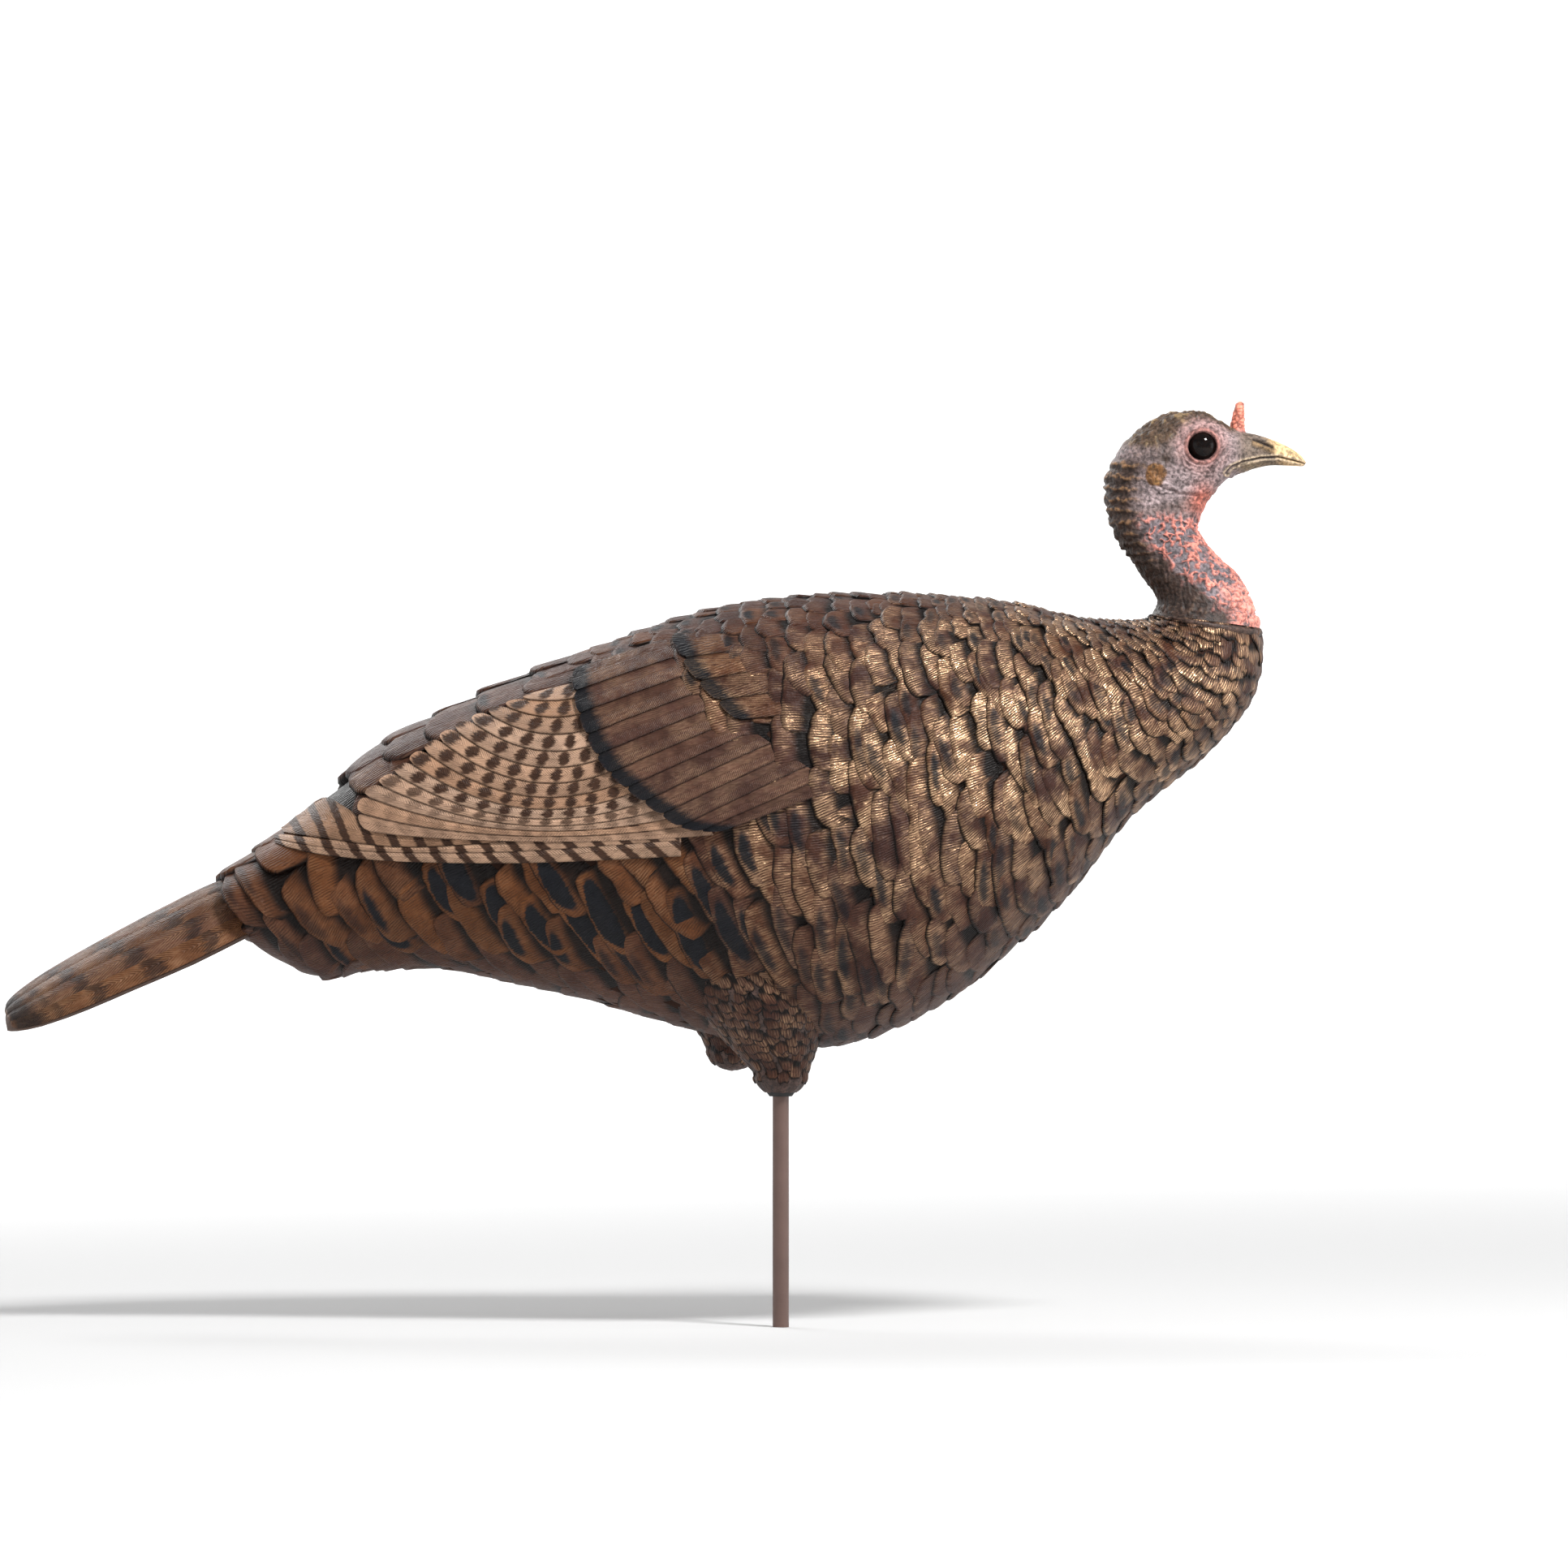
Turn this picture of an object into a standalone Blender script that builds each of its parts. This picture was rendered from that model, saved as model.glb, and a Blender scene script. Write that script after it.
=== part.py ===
"""A hen turkey decoy that turns on a ground stake.

The origin is where the stake's axis meets the ground. +Z is up and +X is the way the bird faces,
so its right side is at -Y. The stake goes into the right thigh, so the bird's middle plane stands
at y = MID_Y. The body and the head are hollow mouldings described by the same kind of section: a
point on the back line, a point on the belly line, and the half width between them.
"""

import math

import bmesh
import bpy
import numpy as np
from mathutils import Matrix, Vector

MM = 0.001
GAP = 0.0003  # between pieces that touch
WALL = 0.003  # of the moulded shells
MID_Y = 0.030  # the bird's middle plane
ROUND = 28  # sides of a turned piece

# Back line x, z, belly line x, z and half width, in millimetres, from the tail to the neck seam.
BODY_SECTIONS = (
    (-318, 264, -298, 222, 40),
    (-294, 283, -270, 207, 46),
    (-262, 309, -245, 209, 54),
    (-225, 341, -205, 210, 64),
    (-180, 363, -160, 201, 76),
    (-130, 385, -112, 190, 88),
    (-77, 406, -60, 175, 98),
    (-20, 421, -10, 164, 104),
    (40, 426, 45, 166, 106),
    (94, 425, 105, 197, 101),
    (140, 420, 162, 247, 90),
    (174, 412.5, 203, 297, 76),
    (196, 411, 242, 329, 62),
    (208, 411.5, 264, 351, 51),
    (214, 412.5, 276, 369, 43),
    (216.5, 414, 281, 389, 36),
    (217, 414.7, 280.5, 407, 31),
)
# The same, from the neck seam over the crown to the tip of the beak.
HEAD_SECTIONS = (
    (217, 415.1, 280.5, 407.4, 31),
    (220.5, 421.5, 277, 416, 28),
    (219, 428, 272.5, 427, 25.5),
    (213, 436, 267, 437.5, 23.5),
    (206, 446.5, 257, 447, 22),
    (199, 456, 248, 456.5, 21),
    (193, 468, 243.3, 466, 20.5),
    (190.3, 480, 246, 475.5, 21),
    (189.5, 491, 252, 485, 22),
    (193, 503, 258, 491.5, 23),
    (203, 518, 263.5, 496, 23.5),
    (222, 531.5, 268.5, 498, 22),
    (244, 534.5, 273, 499.5, 19),
    (257, 528.5, 277, 501, 14.5),
    (269, 523, 281.5, 502, 10),
    (281, 520, 287, 502.8, 7.6),
    (291, 516.5, 293, 502.8, 5.8),
    (299, 512.5, 298.5, 502.6, 4.2),
    (305, 508, 303.5, 502.4, 2.4),
    (307.5, 504.5, 306, 502.4, 1),
)
HEAD_CAVITY_ROWS = 11  # of HEAD_SECTIONS, counted from the seam
# Ridge x, z, lower edge x, z and half width of the folded tail, from its root to its tip.
TAIL_SECTIONS = (
    (-297, 254, -289, 239, 21),
    (-312, 257, -300, 233, 25),
    (-328, 257, -316, 226, 32),
    (-362, 241, -345, 211.5, 38),
    (-396, 223, -380, 196.5, 42),
    (-425, 206.5, -408, 184.5, 43),
    (-442, 195, -430, 176.5, 37),
    (-451, 187, -445, 173.5, 28),
    (-453.5, 181, -451.5, 173.5, 18),
)
# The folded wing's upper and lower edges, x, z in millimetres, from its tip to its shoulder.
WING_UPPER = ((-289, 281), (-262, 306), (-219, 333), (-172, 356), (-124, 382), (-86, 395),
              (-50, 402), (-22, 392), (2, 366), (22, 338), (39, 318))
WING_LOWER = ((-291, 277), (-262, 274.5), (-219, 272), (-172, 271), (-124, 271), (-90, 272.5),
              (-62, 275), (-43, 285), (-24, 296), (6, 307), (38, 313))
WING_GAP = 0.0014  # clears the facets of the body under the wing
WING_RIM, WING_CROWN = 0.0012, 0.0045  # thickness at the edge, and what the middle adds
WING_LEAST_Y = 0.016  # from the middle plane, at the wing's tip

# The moulded thighs: centre x, side distance from the stake's axis, z and radius, downwards.
RIGHT_THIGH = ((-20, -12, 207, 38), (-12, -8, 187, 36), (-5, -1, 166, 26), (0, 0, 150, 16))
LEFT_THIGH = ((-34, 73, 210, 38), (-32, 68, 196, 34), (-29, 61, 179, 25), (-28, 60, 164, 16))

STAKE_R, STAKE_TOP, STAKE_POINT, POINT_LENGTH = 0.00475, 0.318, -0.200, 0.030
SLEEVE_IN_R, SLEEVE_OUT_R, SLEEVE_BOTTOM, SLEEVE_TOP = 0.0066, 0.0085, 0.1415, 0.325
BRACE_Z, BRACE_THICK, BRACE_WIDTH, BRACE_HALF = 0.290, 0.006, 0.030, 0.0995

SEAM_BACK, SEAM_FRONT = Vector((217, 0, 414.7)) * MM, Vector((280.5, 0, 407)) * MM
SEAM_CENTRE = (SEAM_BACK + SEAM_FRONT) / 2 + Vector((0, MID_Y, 0))
SEAM_AXIS = Vector((0, 1, 0)).cross(SEAM_BACK - SEAM_FRONT).normalized()
PLUG_R, SOCKET_R = 0.0183, 0.0190

EYE_CENTRE, EYE_R = Vector((246, 0, 513.5)) * MM, 0.0078
TAIL_SLIDE = Vector((-0.908, 0, -0.419)).normalized()
TONGUE_START, TONGUE_LENGTH = Vector((-0.300, MID_Y, 0.2445)), 0.046
TONGUE_WIDTH, TONGUE_THICK = 0.036, 0.009


# ---------------------------------------------------------------- materials and objects

def material(name, colour, roughness, metallic=0.0):
    made = bpy.data.materials.new(name)
    made.use_nodes = True
    shader = made.node_tree.nodes["Principled BSDF"]
    shader.inputs["Base Color"].default_value = (*colour, 1)
    shader.inputs["Roughness"].default_value = roughness
    shader.inputs["Metallic"].default_value = metallic
    return made


def add(name, bm, finish=None, smooth_angle=35):
    """Makes the bmesh an object. With no finish it is a helper for a Boolean."""
    bmesh.ops.triangulate(bm, faces=bm.faces)
    bmesh.ops.recalc_face_normals(bm, faces=bm.faces)
    mesh = bpy.data.meshes.new(name)
    bm.to_mesh(mesh)
    bm.free()
    mesh.shade_smooth()
    mesh.set_sharp_from_angle(angle=math.radians(smooth_angle))
    obj = bpy.data.objects.new(name, mesh)
    bpy.context.scene.collection.objects.link(obj)
    if finish is None:
        obj.hide_render = True
        obj.display_type = "WIRE"
    else:
        mesh.materials.append(finish)
    return obj


def boolean(obj, other, operation):
    modifier = obj.modifiers.new(f"{operation.lower()}_{other.name}", "BOOLEAN")
    modifier.operation = operation
    modifier.object = other


# ---------------------------------------------------------------- curves and sections

def smooth_rows(rows, steps):
    """Rows on a Catmull-Rom curve through the given rows, with so many steps to each stretch."""
    rows = np.array(rows, float)
    ends = np.vstack([2 * rows[0] - rows[1], rows, 2 * rows[-1] - rows[-2]])
    found = []
    for before, start, end, after in zip(ends, ends[1:], ends[2:], ends[3:], strict=False):
        for t in np.arange(steps) / steps:
            found.append(
                0.5 * (2 * start + (end - before) * t
                       + (2 * before - 5 * start + 4 * end - after) * t * t
                       + (3 * start - before - 3 * end + after) * t**3)
            )
    found.append(rows[-1])
    return np.array(found)


def half_section(row, inset, count, power=2.15, middle=0.48):
    """Points from the back line round one side to the belly line: x, z and the half width, in metres."""
    back, belly, width = row[:2] * MM, row[2:4] * MM, row[4] * MM
    down = (belly - back) / np.linalg.norm(belly - back)
    back, belly, width = back + inset * down, belly - inset * down, width - inset
    centre = back + middle * (belly - back)
    angles = np.linspace(0, math.pi, count)
    rise, out = np.cos(angles), np.abs(np.sin(angles)) ** (2 / power)
    reach = np.abs(rise) ** (2 / power)
    points = np.where(rise[:, None] > 0, centre + reach[:, None] * (back - centre),
                      centre + reach[:, None] * (belly - centre))
    return np.column_stack([points, width * out])


def placed(points, side, seam=0.0):
    """Half section points in the frame. side is -1 for the right, 1 for the left."""
    return [Vector((x, MID_Y + side * (out + seam), z)) for x, z, out in points]


def full_section(row, inset, count, **shape):
    """A whole section: down the left side and back up the right."""
    half = half_section(row, inset, count, **shape)
    return placed(half, 1) + placed(half[-2:0:-1], -1)


def side_width(x, z):
    """The body's half width at a point of its side view."""
    rows = smooth_rows(BODY_SECTIONS[:12], 4)
    point = np.array([x, z]) / MM
    belly_way = rows[:, 2:4] - rows[:, :2]
    offset = point - rows[:, :2]
    ahead = belly_way[:, 0] * offset[:, 1] - belly_way[:, 1] * offset[:, 0]
    after = int(np.clip(np.argmax(ahead < 0), 1, len(rows) - 1))
    share = ahead[after - 1] / (ahead[after - 1] - ahead[after])
    row = rows[after - 1] + np.clip(share, 0, 1) * (rows[after] - rows[after - 1])
    section = half_section(row, 0, 65)
    down = (row[2:4] - row[:2]) / np.linalg.norm(row[2:4] - row[:2])
    depth = (section[:, :2] / MM - row[:2]) @ down
    return float(np.interp((point - row[:2]) @ down, depth, section[:, 2]))


# ---------------------------------------------------------------- solids

def bridge_grid(bm, grid, flip=False):
    for first, second in zip(grid, grid[1:], strict=False):
        for a, b, c, d in zip(first, first[1:], second[1:], second, strict=False):
            bm.faces.new((d, c, b, a) if flip else (a, b, c, d))


def sheet_solid(outer, inner):
    """A curved sheet with a thickness: two grids of points, joined round their four edges."""
    bm = bmesh.new()
    outer = [[bm.verts.new(p) for p in row] for row in outer]
    inner = [[bm.verts.new(p) for p in row] for row in inner]
    bridge_grid(bm, outer)
    bridge_grid(bm, inner, flip=True)
    for k in (0, -1):
        bridge_grid(bm, [outer[k], inner[k]])
        bridge_grid(bm, [[row[k] for row in outer], [row[k] for row in inner]])
    return bm


def ring_solid(rings, closed=False):
    """A skin over rings of points, its two ends capped, or joined where it is closed."""
    bm = bmesh.new()
    rings = [[bm.verts.new(p) for p in ring] for ring in rings]
    pairs = list(zip(rings, rings[1:], strict=False)) + ([(rings[-1], rings[0])] if closed else [])
    for first, second in pairs:
        for k in range(len(first)):
            bm.faces.new((first[k - 1], first[k], second[k], second[k - 1]))
    if not closed:
        bm.faces.new(rings[0])
        bm.faces.new(rings[-1])
    return bm


def turned(profile, origin=(0, 0, 0), axis=(0, 0, 1), sides=ROUND):
    """A turned solid. The profile is radius and height in metres; it either starts and ends on
    the axis, or goes round a ring's cross-section."""
    turn = Vector((0, 0, 1)).rotation_difference(Vector(axis)).to_matrix()
    rings = [
        [turn @ Vector((r * math.cos(a), r * math.sin(a), h)) + Vector(origin)
         for a in np.arange(sides) * 2 * math.pi / sides]
        for r, h in profile if r > 0
    ]
    if profile[0][0] > 0:
        return ring_solid(rings, closed=True)
    return ring_solid(rings)


def block(size, corner_radius, matrix):
    """A box with rounded edges."""
    bm = bmesh.new()
    bmesh.ops.create_cube(bm, size=1, matrix=matrix @ Matrix.Diagonal((*size, 1)))
    bmesh.ops.bevel(bm, geom=bm.edges, offset=corner_radius, segments=2, affect="EDGES")
    return bm


def thigh_solid(rows, inset):
    """A thigh that tapers down to a round knob."""
    rows = smooth_rows(rows, 2)
    knob = rows[-1]
    for angle in np.radians((25, 50, 72)):
        rows = np.vstack([rows, [*knob[:2], knob[2] - knob[3] * math.sin(angle),
                                 knob[3] * math.cos(angle)]])
    rows[:, 2] += 2 * inset / MM * (np.arange(len(rows)) == 0) + inset / MM
    rows[:, 3] -= inset / MM * np.minimum(1, rows[:, 3] / knob[3])
    return ring_solid([
        [Vector((x + r * math.cos(a), y + r * math.sin(a), z)) * MM
         for a in np.arange(18) * 2 * math.pi / 18]
        for x, y, z, r in rows
    ])


# ---------------------------------------------------------------- the pieces

def body_shell(name, side, thigh, finish):
    """Half of the hollow body, open at the rump and the neck, with its moulded thigh."""
    rows = smooth_rows(BODY_SECTIONS, 2)
    outer = [placed(half_section(r, 0, 14), side, GAP / 2) for r in rows]
    inner = [placed(half_section(r, WALL, 14), side, GAP / 2) for r in rows]
    shell = add(name, sheet_solid(outer, inner), finish)
    boolean(shell, add(f"{name}_thigh", thigh_solid(thigh, 0)), "UNION")
    boolean(shell, add(f"{name}_thigh_hollow", thigh_solid(thigh, WALL)), "DIFFERENCE")
    return shell


def wing_point(x, z, side, height):
    """The point this far out from the body's side, square to it."""
    step = 0.002
    width = side_width(x, z)
    slope = (side_width(x, z + step) - side_width(x, z - step)) / (2 * step)
    rise = Vector((1, -slope)).normalized() * height
    y = max(width, WING_LEAST_Y) + rise[0]
    return Vector((x, MID_Y + side * y, z + rise[1]))


def wing(name, side, finish):
    """A folded wing: a crowned sheet that lies along the body."""
    upper, lower = smooth_rows(WING_UPPER, 2) * MM, smooth_rows(WING_LOWER, 2) * MM
    outer, inner = [], []
    for k, (top, bottom) in enumerate(zip(upper, lower, strict=True)):
        along = k / (len(upper) - 1)
        outer.append([])
        inner.append([])
        for share in np.linspace(0, 1, 10):
            x, z = bottom + share * (top - bottom)
            crown = math.sin(math.pi * share) * math.sin(math.pi * min(along, 0.5 + along / 2))
            thick = WING_RIM + WING_CROWN * math.sqrt(max(crown, 0))
            inner[-1].append(wing_point(x, z, side, WING_GAP))
            outer[-1].append(wing_point(x, z, side, WING_GAP + thick))
    return add(name, sheet_solid(outer, inner), finish)


def head(finish):
    """The hollow head and neck, open at the neck seam, with bores for the eyes and the snood."""
    shape = {"power": 2.05, "middle": 0.5}
    outside = [full_section(r, 0, 11, **shape) for r in smooth_rows(HEAD_SECTIONS, 2)]
    cavity = [full_section(r, WALL, 11, **shape)
              for r in smooth_rows(HEAD_SECTIONS[:HEAD_CAVITY_ROWS], 1)]
    shell = add("head_shell", ring_solid(cavity[::-1] + outside), finish)
    for side, label in ((-1, "right"), (1, "left")):
        bore = turned([(0, 0.0095), (EYE_R + GAP, 0.0095), (EYE_R + GAP, 0.040), (0, 0.040)],
                      EYE_CENTRE + Vector((0, MID_Y, 0)), (0, side, 0))
        boolean(shell, add(f"eye_bore_{label}", bore), "DIFFERENCE")
    bore = turned([(0, 0), (0.0038, 0), (0.0038, 0.012), (0, 0.012)], SNOOD_FOOT, SNOOD_AXIS)
    boolean(shell, add("snood_bore", bore), "DIFFERENCE")
    return shell


SNOOD_FOOT = Vector((0.2645, MID_Y, 0.5205))
SNOOD_AXIS = Vector((0.24, 0, 0.97)).normalized()


def snood(finish):
    """The soft finger over the beak."""
    profile = [(0, 0.0005), (0.0034, 0.0005), (0.0034, 0.0065), (0.0040, 0.0085), (0.0036, 0.011),
               (0.0032, 0.0150), (0.0025, 0.0182), (0.0012, 0.0196), (0, 0.0196)]
    return add("snood", turned(profile, SNOOD_FOOT, SNOOD_AXIS, 16), finish)


def eye(name, side, finish):
    """A domed glossy eye on a short stem."""
    stem, seat, dome = 0.0125, 0.0190, 0.0035
    arc = [(EYE_R * math.cos(a), seat + dome * math.sin(a)) for a in np.radians((0, 20, 40, 60, 78))]
    profile = [(0, stem), (EYE_R, stem), *arc, (0, seat + dome)]
    return add(name, turned(profile, EYE_CENTRE + Vector((0, MID_Y, 0)), (0, side, 0), 32), finish)


def along_tail(start, length):
    """The matrix that centres a block of this length on the tail's own axis."""
    turn = Vector((1, 0, 0)).rotation_difference(-TAIL_SLIDE).to_matrix().to_4x4()
    return Matrix.Translation(start - TAIL_SLIDE * (length / 2)) @ turn


def tail(finish):
    """The folded tail: an arched fan, with a flat tongue at its root that plugs into the body."""
    rows = smooth_rows(TAIL_SECTIONS, 2)
    thick, count = 0.006, 9
    outer, inner = [], []
    for row in rows:
        ridge, edge, width = row[:2] * MM, row[2:4] * MM, row[4] * MM
        angles = np.linspace(-math.pi / 2, math.pi / 2, count)
        drop = 1 - np.cos(angles)
        line = ridge + drop[:, None] * (edge - ridge)
        under = line + thick * (edge - ridge) / np.linalg.norm(edge - ridge) * np.cos(angles)[:, None]
        outer.append([Vector((x, MID_Y + width * s, z)) for (x, z), s in zip(line, np.sin(angles), strict=True)])
        inner.append([Vector((x, MID_Y + (width - 0.0018) * s, z - 0.0012))
                      for (x, z), s in zip(under, np.sin(angles), strict=True)])
    fan = add("tail_fan", sheet_solid(outer, inner), finish)
    size = (TONGUE_LENGTH, TONGUE_WIDTH, TONGUE_THICK)
    tongue = add("tail_tongue", block(size, 0.001, along_tail(TONGUE_START, TONGUE_LENGTH)))
    boolean(fan, tongue, "UNION")
    return fan


def tail_socket(finish):
    """The flat sleeve inside the rump that grips the tail's tongue, on its mounting plate."""
    wall, length = 0.003, 0.032
    start = TONGUE_START - TAIL_SLIDE * 0.009
    hole = (length * 2, TONGUE_WIDTH + 4 * GAP, TONGUE_THICK + 4 * GAP)
    outer = (length, hole[1] + 2 * wall, hole[2] + 2 * wall)
    socket = add("tail_socket", block(outer, 0.001, along_tail(start, length)), finish)
    plate = block((0.004, 0.062, 0.034), 0.001, along_tail(start - TAIL_SLIDE * 0.014, 0.004))
    boolean(socket, add("tail_socket_plate", plate), "UNION")
    cutter = block(hole, 0.0005, along_tail(start + TAIL_SLIDE * length / 2, hole[0]))
    boolean(socket, add("tail_socket_hole", cutter), "DIFFERENCE")
    return socket


def neck_joint(plastic, rubber):
    """The cup in the body, the plug in the head, and the rubber ring that grips between them."""
    lip = 2 * GAP
    cup = [(0, -0.026), (0.022, -0.026), (0.022, -0.0045), (0.0268, -0.0045), (0.0268, -lip),
           (SOCKET_R, -lip), (SOCKET_R, -0.0230), (0, -0.0230)]
    add("neck_socket", turned(cup, SEAM_CENTRE, SEAM_AXIS), plastic)
    plug = [(0, -0.0215), (PLUG_R - 0.0018, -0.0215), (PLUG_R, -0.0195), (PLUG_R, -0.0112),
            (PLUG_R - 0.0016, -0.0112), (PLUG_R - 0.0016, -0.0068), (PLUG_R, -0.0068),
            (PLUG_R, lip), (0.0256, lip), (0.0256, 0.0030), (0, 0.0030)]
    add("neck_plug", turned(plug, SEAM_CENTRE, SEAM_AXIS), plastic)
    inside, outside = PLUG_R - 0.0016 + GAP, SOCKET_R - GAP
    ring = [(inside, -0.0108), (outside - 0.0004, -0.0108), (outside, -0.0102), (outside, -0.0078),
            (outside - 0.0004, -0.0072), (inside, -0.0072)]
    add("neck_ring", turned(ring, SEAM_CENTRE, SEAM_AXIS), rubber)


def stake(metal, plastic, rubber):
    """The stake, and the sleeve, cap, grommet and bushing that let the bird turn on it."""
    rod = [(0, STAKE_POINT), (0.0003, STAKE_POINT), (STAKE_R, STAKE_POINT + POINT_LENGTH),
           (STAKE_R, STAKE_TOP - 0.001), (STAKE_R - 0.001, STAKE_TOP), (0, STAKE_TOP)]
    add("stake_rod", turned(rod), metal)
    bore, outside, foot = STAKE_R + GAP, SLEEVE_IN_R - GAP, STAKE_TOP - 0.022
    bushing = [(0, STAKE_TOP + GAP), (bore, STAKE_TOP + GAP), (bore, foot), (outside, foot),
               (outside, STAKE_TOP + 0.002), (outside - 0.001, STAKE_TOP + 0.003), (0, STAKE_TOP + 0.003)]
    add("swivel_bushing", turned(bushing), plastic)
    sleeve = [(SLEEVE_IN_R, SLEEVE_BOTTOM), (SLEEVE_OUT_R, SLEEVE_BOTTOM),
              (SLEEVE_OUT_R, SLEEVE_TOP), (SLEEVE_IN_R, SLEEVE_TOP)]
    add("stake_sleeve", turned(sleeve), plastic)
    thrust = STAKE_TOP + 0.003 + GAP
    cap = [(0, thrust), (SLEEVE_IN_R - GAP, thrust), (SLEEVE_IN_R - GAP, SLEEVE_TOP + GAP),
           (SLEEVE_OUT_R, SLEEVE_TOP + GAP), (SLEEVE_OUT_R, SLEEVE_TOP + 0.0035), (0, SLEEVE_TOP + 0.0035)]
    add("sleeve_cap", turned(cap), plastic)
    grommet = [(bore, 0.1345), (0.0066, 0.1345), (0.0086, 0.1372), (0.0086, SLEEVE_BOTTOM - GAP),
               (bore, SLEEVE_BOTTOM - GAP)]
    add("stake_grommet", turned(grommet), rubber)


def sleeve_brace(plastic):
    """The bar from wall to wall that steadies the top of the sleeve."""
    size = (BRACE_WIDTH, 2 * BRACE_HALF, BRACE_THICK)
    bar = add("sleeve_brace", block(size, 0.0015, Matrix.Translation((0, MID_Y, BRACE_Z))), plastic)
    collar = [(0, BRACE_Z - 0.010), (0.013, BRACE_Z - 0.010), (0.013, BRACE_Z + 0.010), (0, BRACE_Z + 0.010)]
    boolean(bar, add("sleeve_brace_collar", turned(collar)), "UNION")
    hole_r = SLEEVE_OUT_R + GAP
    hole = [(0, BRACE_Z - 0.020), (hole_r, BRACE_Z - 0.020), (hole_r, BRACE_Z + 0.020), (0, BRACE_Z + 0.020)]
    boolean(bar, add("sleeve_brace_hole", turned(hole)), "DIFFERENCE")


def main():
    for old in list(bpy.data.objects):
        bpy.data.objects.remove(old)
    feather = material("feather_plastic", (0.11, 0.065, 0.04), 0.5, 0.3)
    wing_feather = material("wing_plastic", (0.16, 0.10, 0.065), 0.5, 0.2)
    tail_feather = material("tail_plastic", (0.13, 0.065, 0.03), 0.55, 0.1)
    skin = material("head_skin", (0.32, 0.25, 0.26), 0.6)
    gloss = material("eye_gloss", (0.01, 0.008, 0.008), 0.05)
    flesh = material("snood_rubber", (0.75, 0.28, 0.22), 0.55)
    plastic = material("inner_plastic", (0.05, 0.045, 0.04), 0.5)
    rubber = material("black_rubber", (0.02, 0.02, 0.02), 0.8)
    steel = material("stake_paint", (0.13, 0.075, 0.065), 0.5, 0.4)

    right = body_shell("body_shell_right", -1, RIGHT_THIGH, feather)
    grommet_hole = [(0, 0.120), (0.0089, 0.120), (0.0089, 0.160), (0, 0.160)]
    boolean(right, add("grommet_hole", turned(grommet_hole)), "DIFFERENCE")
    body_shell("body_shell_left", 1, LEFT_THIGH, feather)
    wing("wing_right", -1, wing_feather)
    wing("wing_left", 1, wing_feather)
    head(skin)
    eye("eye_right", -1, gloss)
    eye("eye_left", 1, gloss)
    snood(flesh)
    tail(tail_feather)
    tail_socket(plastic)
    neck_joint(plastic, rubber)
    stake(steel, plastic, rubber)
    sleeve_brace(plastic)


main()
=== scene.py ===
"""The looks of the hen turkey decoy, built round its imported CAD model.

Sizes are in metres, in the CAD's frame: the bird faces +X and its right side is at -Y. Tables of
points are in millimetres. The body, head and tail are each a Skin: a smooth surface with its own
two coordinates, on which feathers and other relief are laid.
"""

import math

import bpy
import numpy as np
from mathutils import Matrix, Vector, noise
from mathutils.bvhtree import BVHTree


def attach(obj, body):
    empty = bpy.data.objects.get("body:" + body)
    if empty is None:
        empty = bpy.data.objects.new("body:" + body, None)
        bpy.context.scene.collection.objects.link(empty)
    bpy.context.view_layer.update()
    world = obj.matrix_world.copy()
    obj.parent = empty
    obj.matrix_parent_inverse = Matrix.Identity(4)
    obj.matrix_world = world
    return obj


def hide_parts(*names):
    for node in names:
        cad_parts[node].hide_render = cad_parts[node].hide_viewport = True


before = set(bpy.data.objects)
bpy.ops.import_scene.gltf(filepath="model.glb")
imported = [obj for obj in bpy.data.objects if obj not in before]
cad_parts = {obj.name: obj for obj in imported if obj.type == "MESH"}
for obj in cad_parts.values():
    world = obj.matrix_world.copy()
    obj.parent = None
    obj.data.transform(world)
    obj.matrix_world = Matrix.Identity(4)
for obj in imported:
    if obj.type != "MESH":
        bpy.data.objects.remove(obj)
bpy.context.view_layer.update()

MM = 0.001
MID_Y = 0.030  # the bird's middle plane
RNG = np.random.default_rng(7)

# Back line x, z, belly line x, z and half width, from the tail to the neck seam, as in the CAD.
BODY_SECTIONS = (
    (-318, 264, -298, 222, 40), (-294, 283, -270, 207, 46), (-262, 309, -245, 209, 54),
    (-225, 341, -205, 210, 64), (-180, 363, -160, 201, 76), (-130, 385, -112, 190, 88),
    (-77, 406, -60, 175, 98), (-20, 421, -10, 164, 104), (40, 426, 45, 166, 106),
    (94, 425, 105, 197, 101), (140, 420, 162, 247, 90), (174, 412.5, 203, 297, 76),
    (196, 411, 242, 329, 62), (208, 411.5, 264, 351, 51), (214, 412.5, 276, 369, 43),
    (216.5, 414, 281, 389, 36), (217, 414.7, 280.5, 407, 31),
)
HEAD_SECTIONS = (
    (217, 415.1, 280.5, 407.4, 31), (220.5, 421.5, 277, 416, 28), (219, 428, 272.5, 427, 25.5),
    (213, 436, 267, 437.5, 23.5), (206, 446.5, 257, 447, 22), (199, 456, 248, 456.5, 21),
    (193, 468, 243.3, 466, 20.5), (190.3, 480, 246, 475.5, 21), (189.5, 491, 252, 485, 22),
    (193, 503, 258, 491.5, 23), (203, 518, 263.5, 496, 23.5), (222, 531.5, 268.5, 498, 22),
    (244, 534.5, 273, 499.5, 19), (257, 528.5, 277, 501, 14.5), (269, 523, 281.5, 502, 10),
    (281, 520, 287, 502.8, 7.6), (291, 516.5, 293, 502.8, 5.8), (299, 512.5, 298.5, 502.6, 4.2),
    (305, 508, 303.5, 502.4, 2.4), (307.5, 504.5, 306, 502.4, 1),
)


# ---- curves and surfaces

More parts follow.
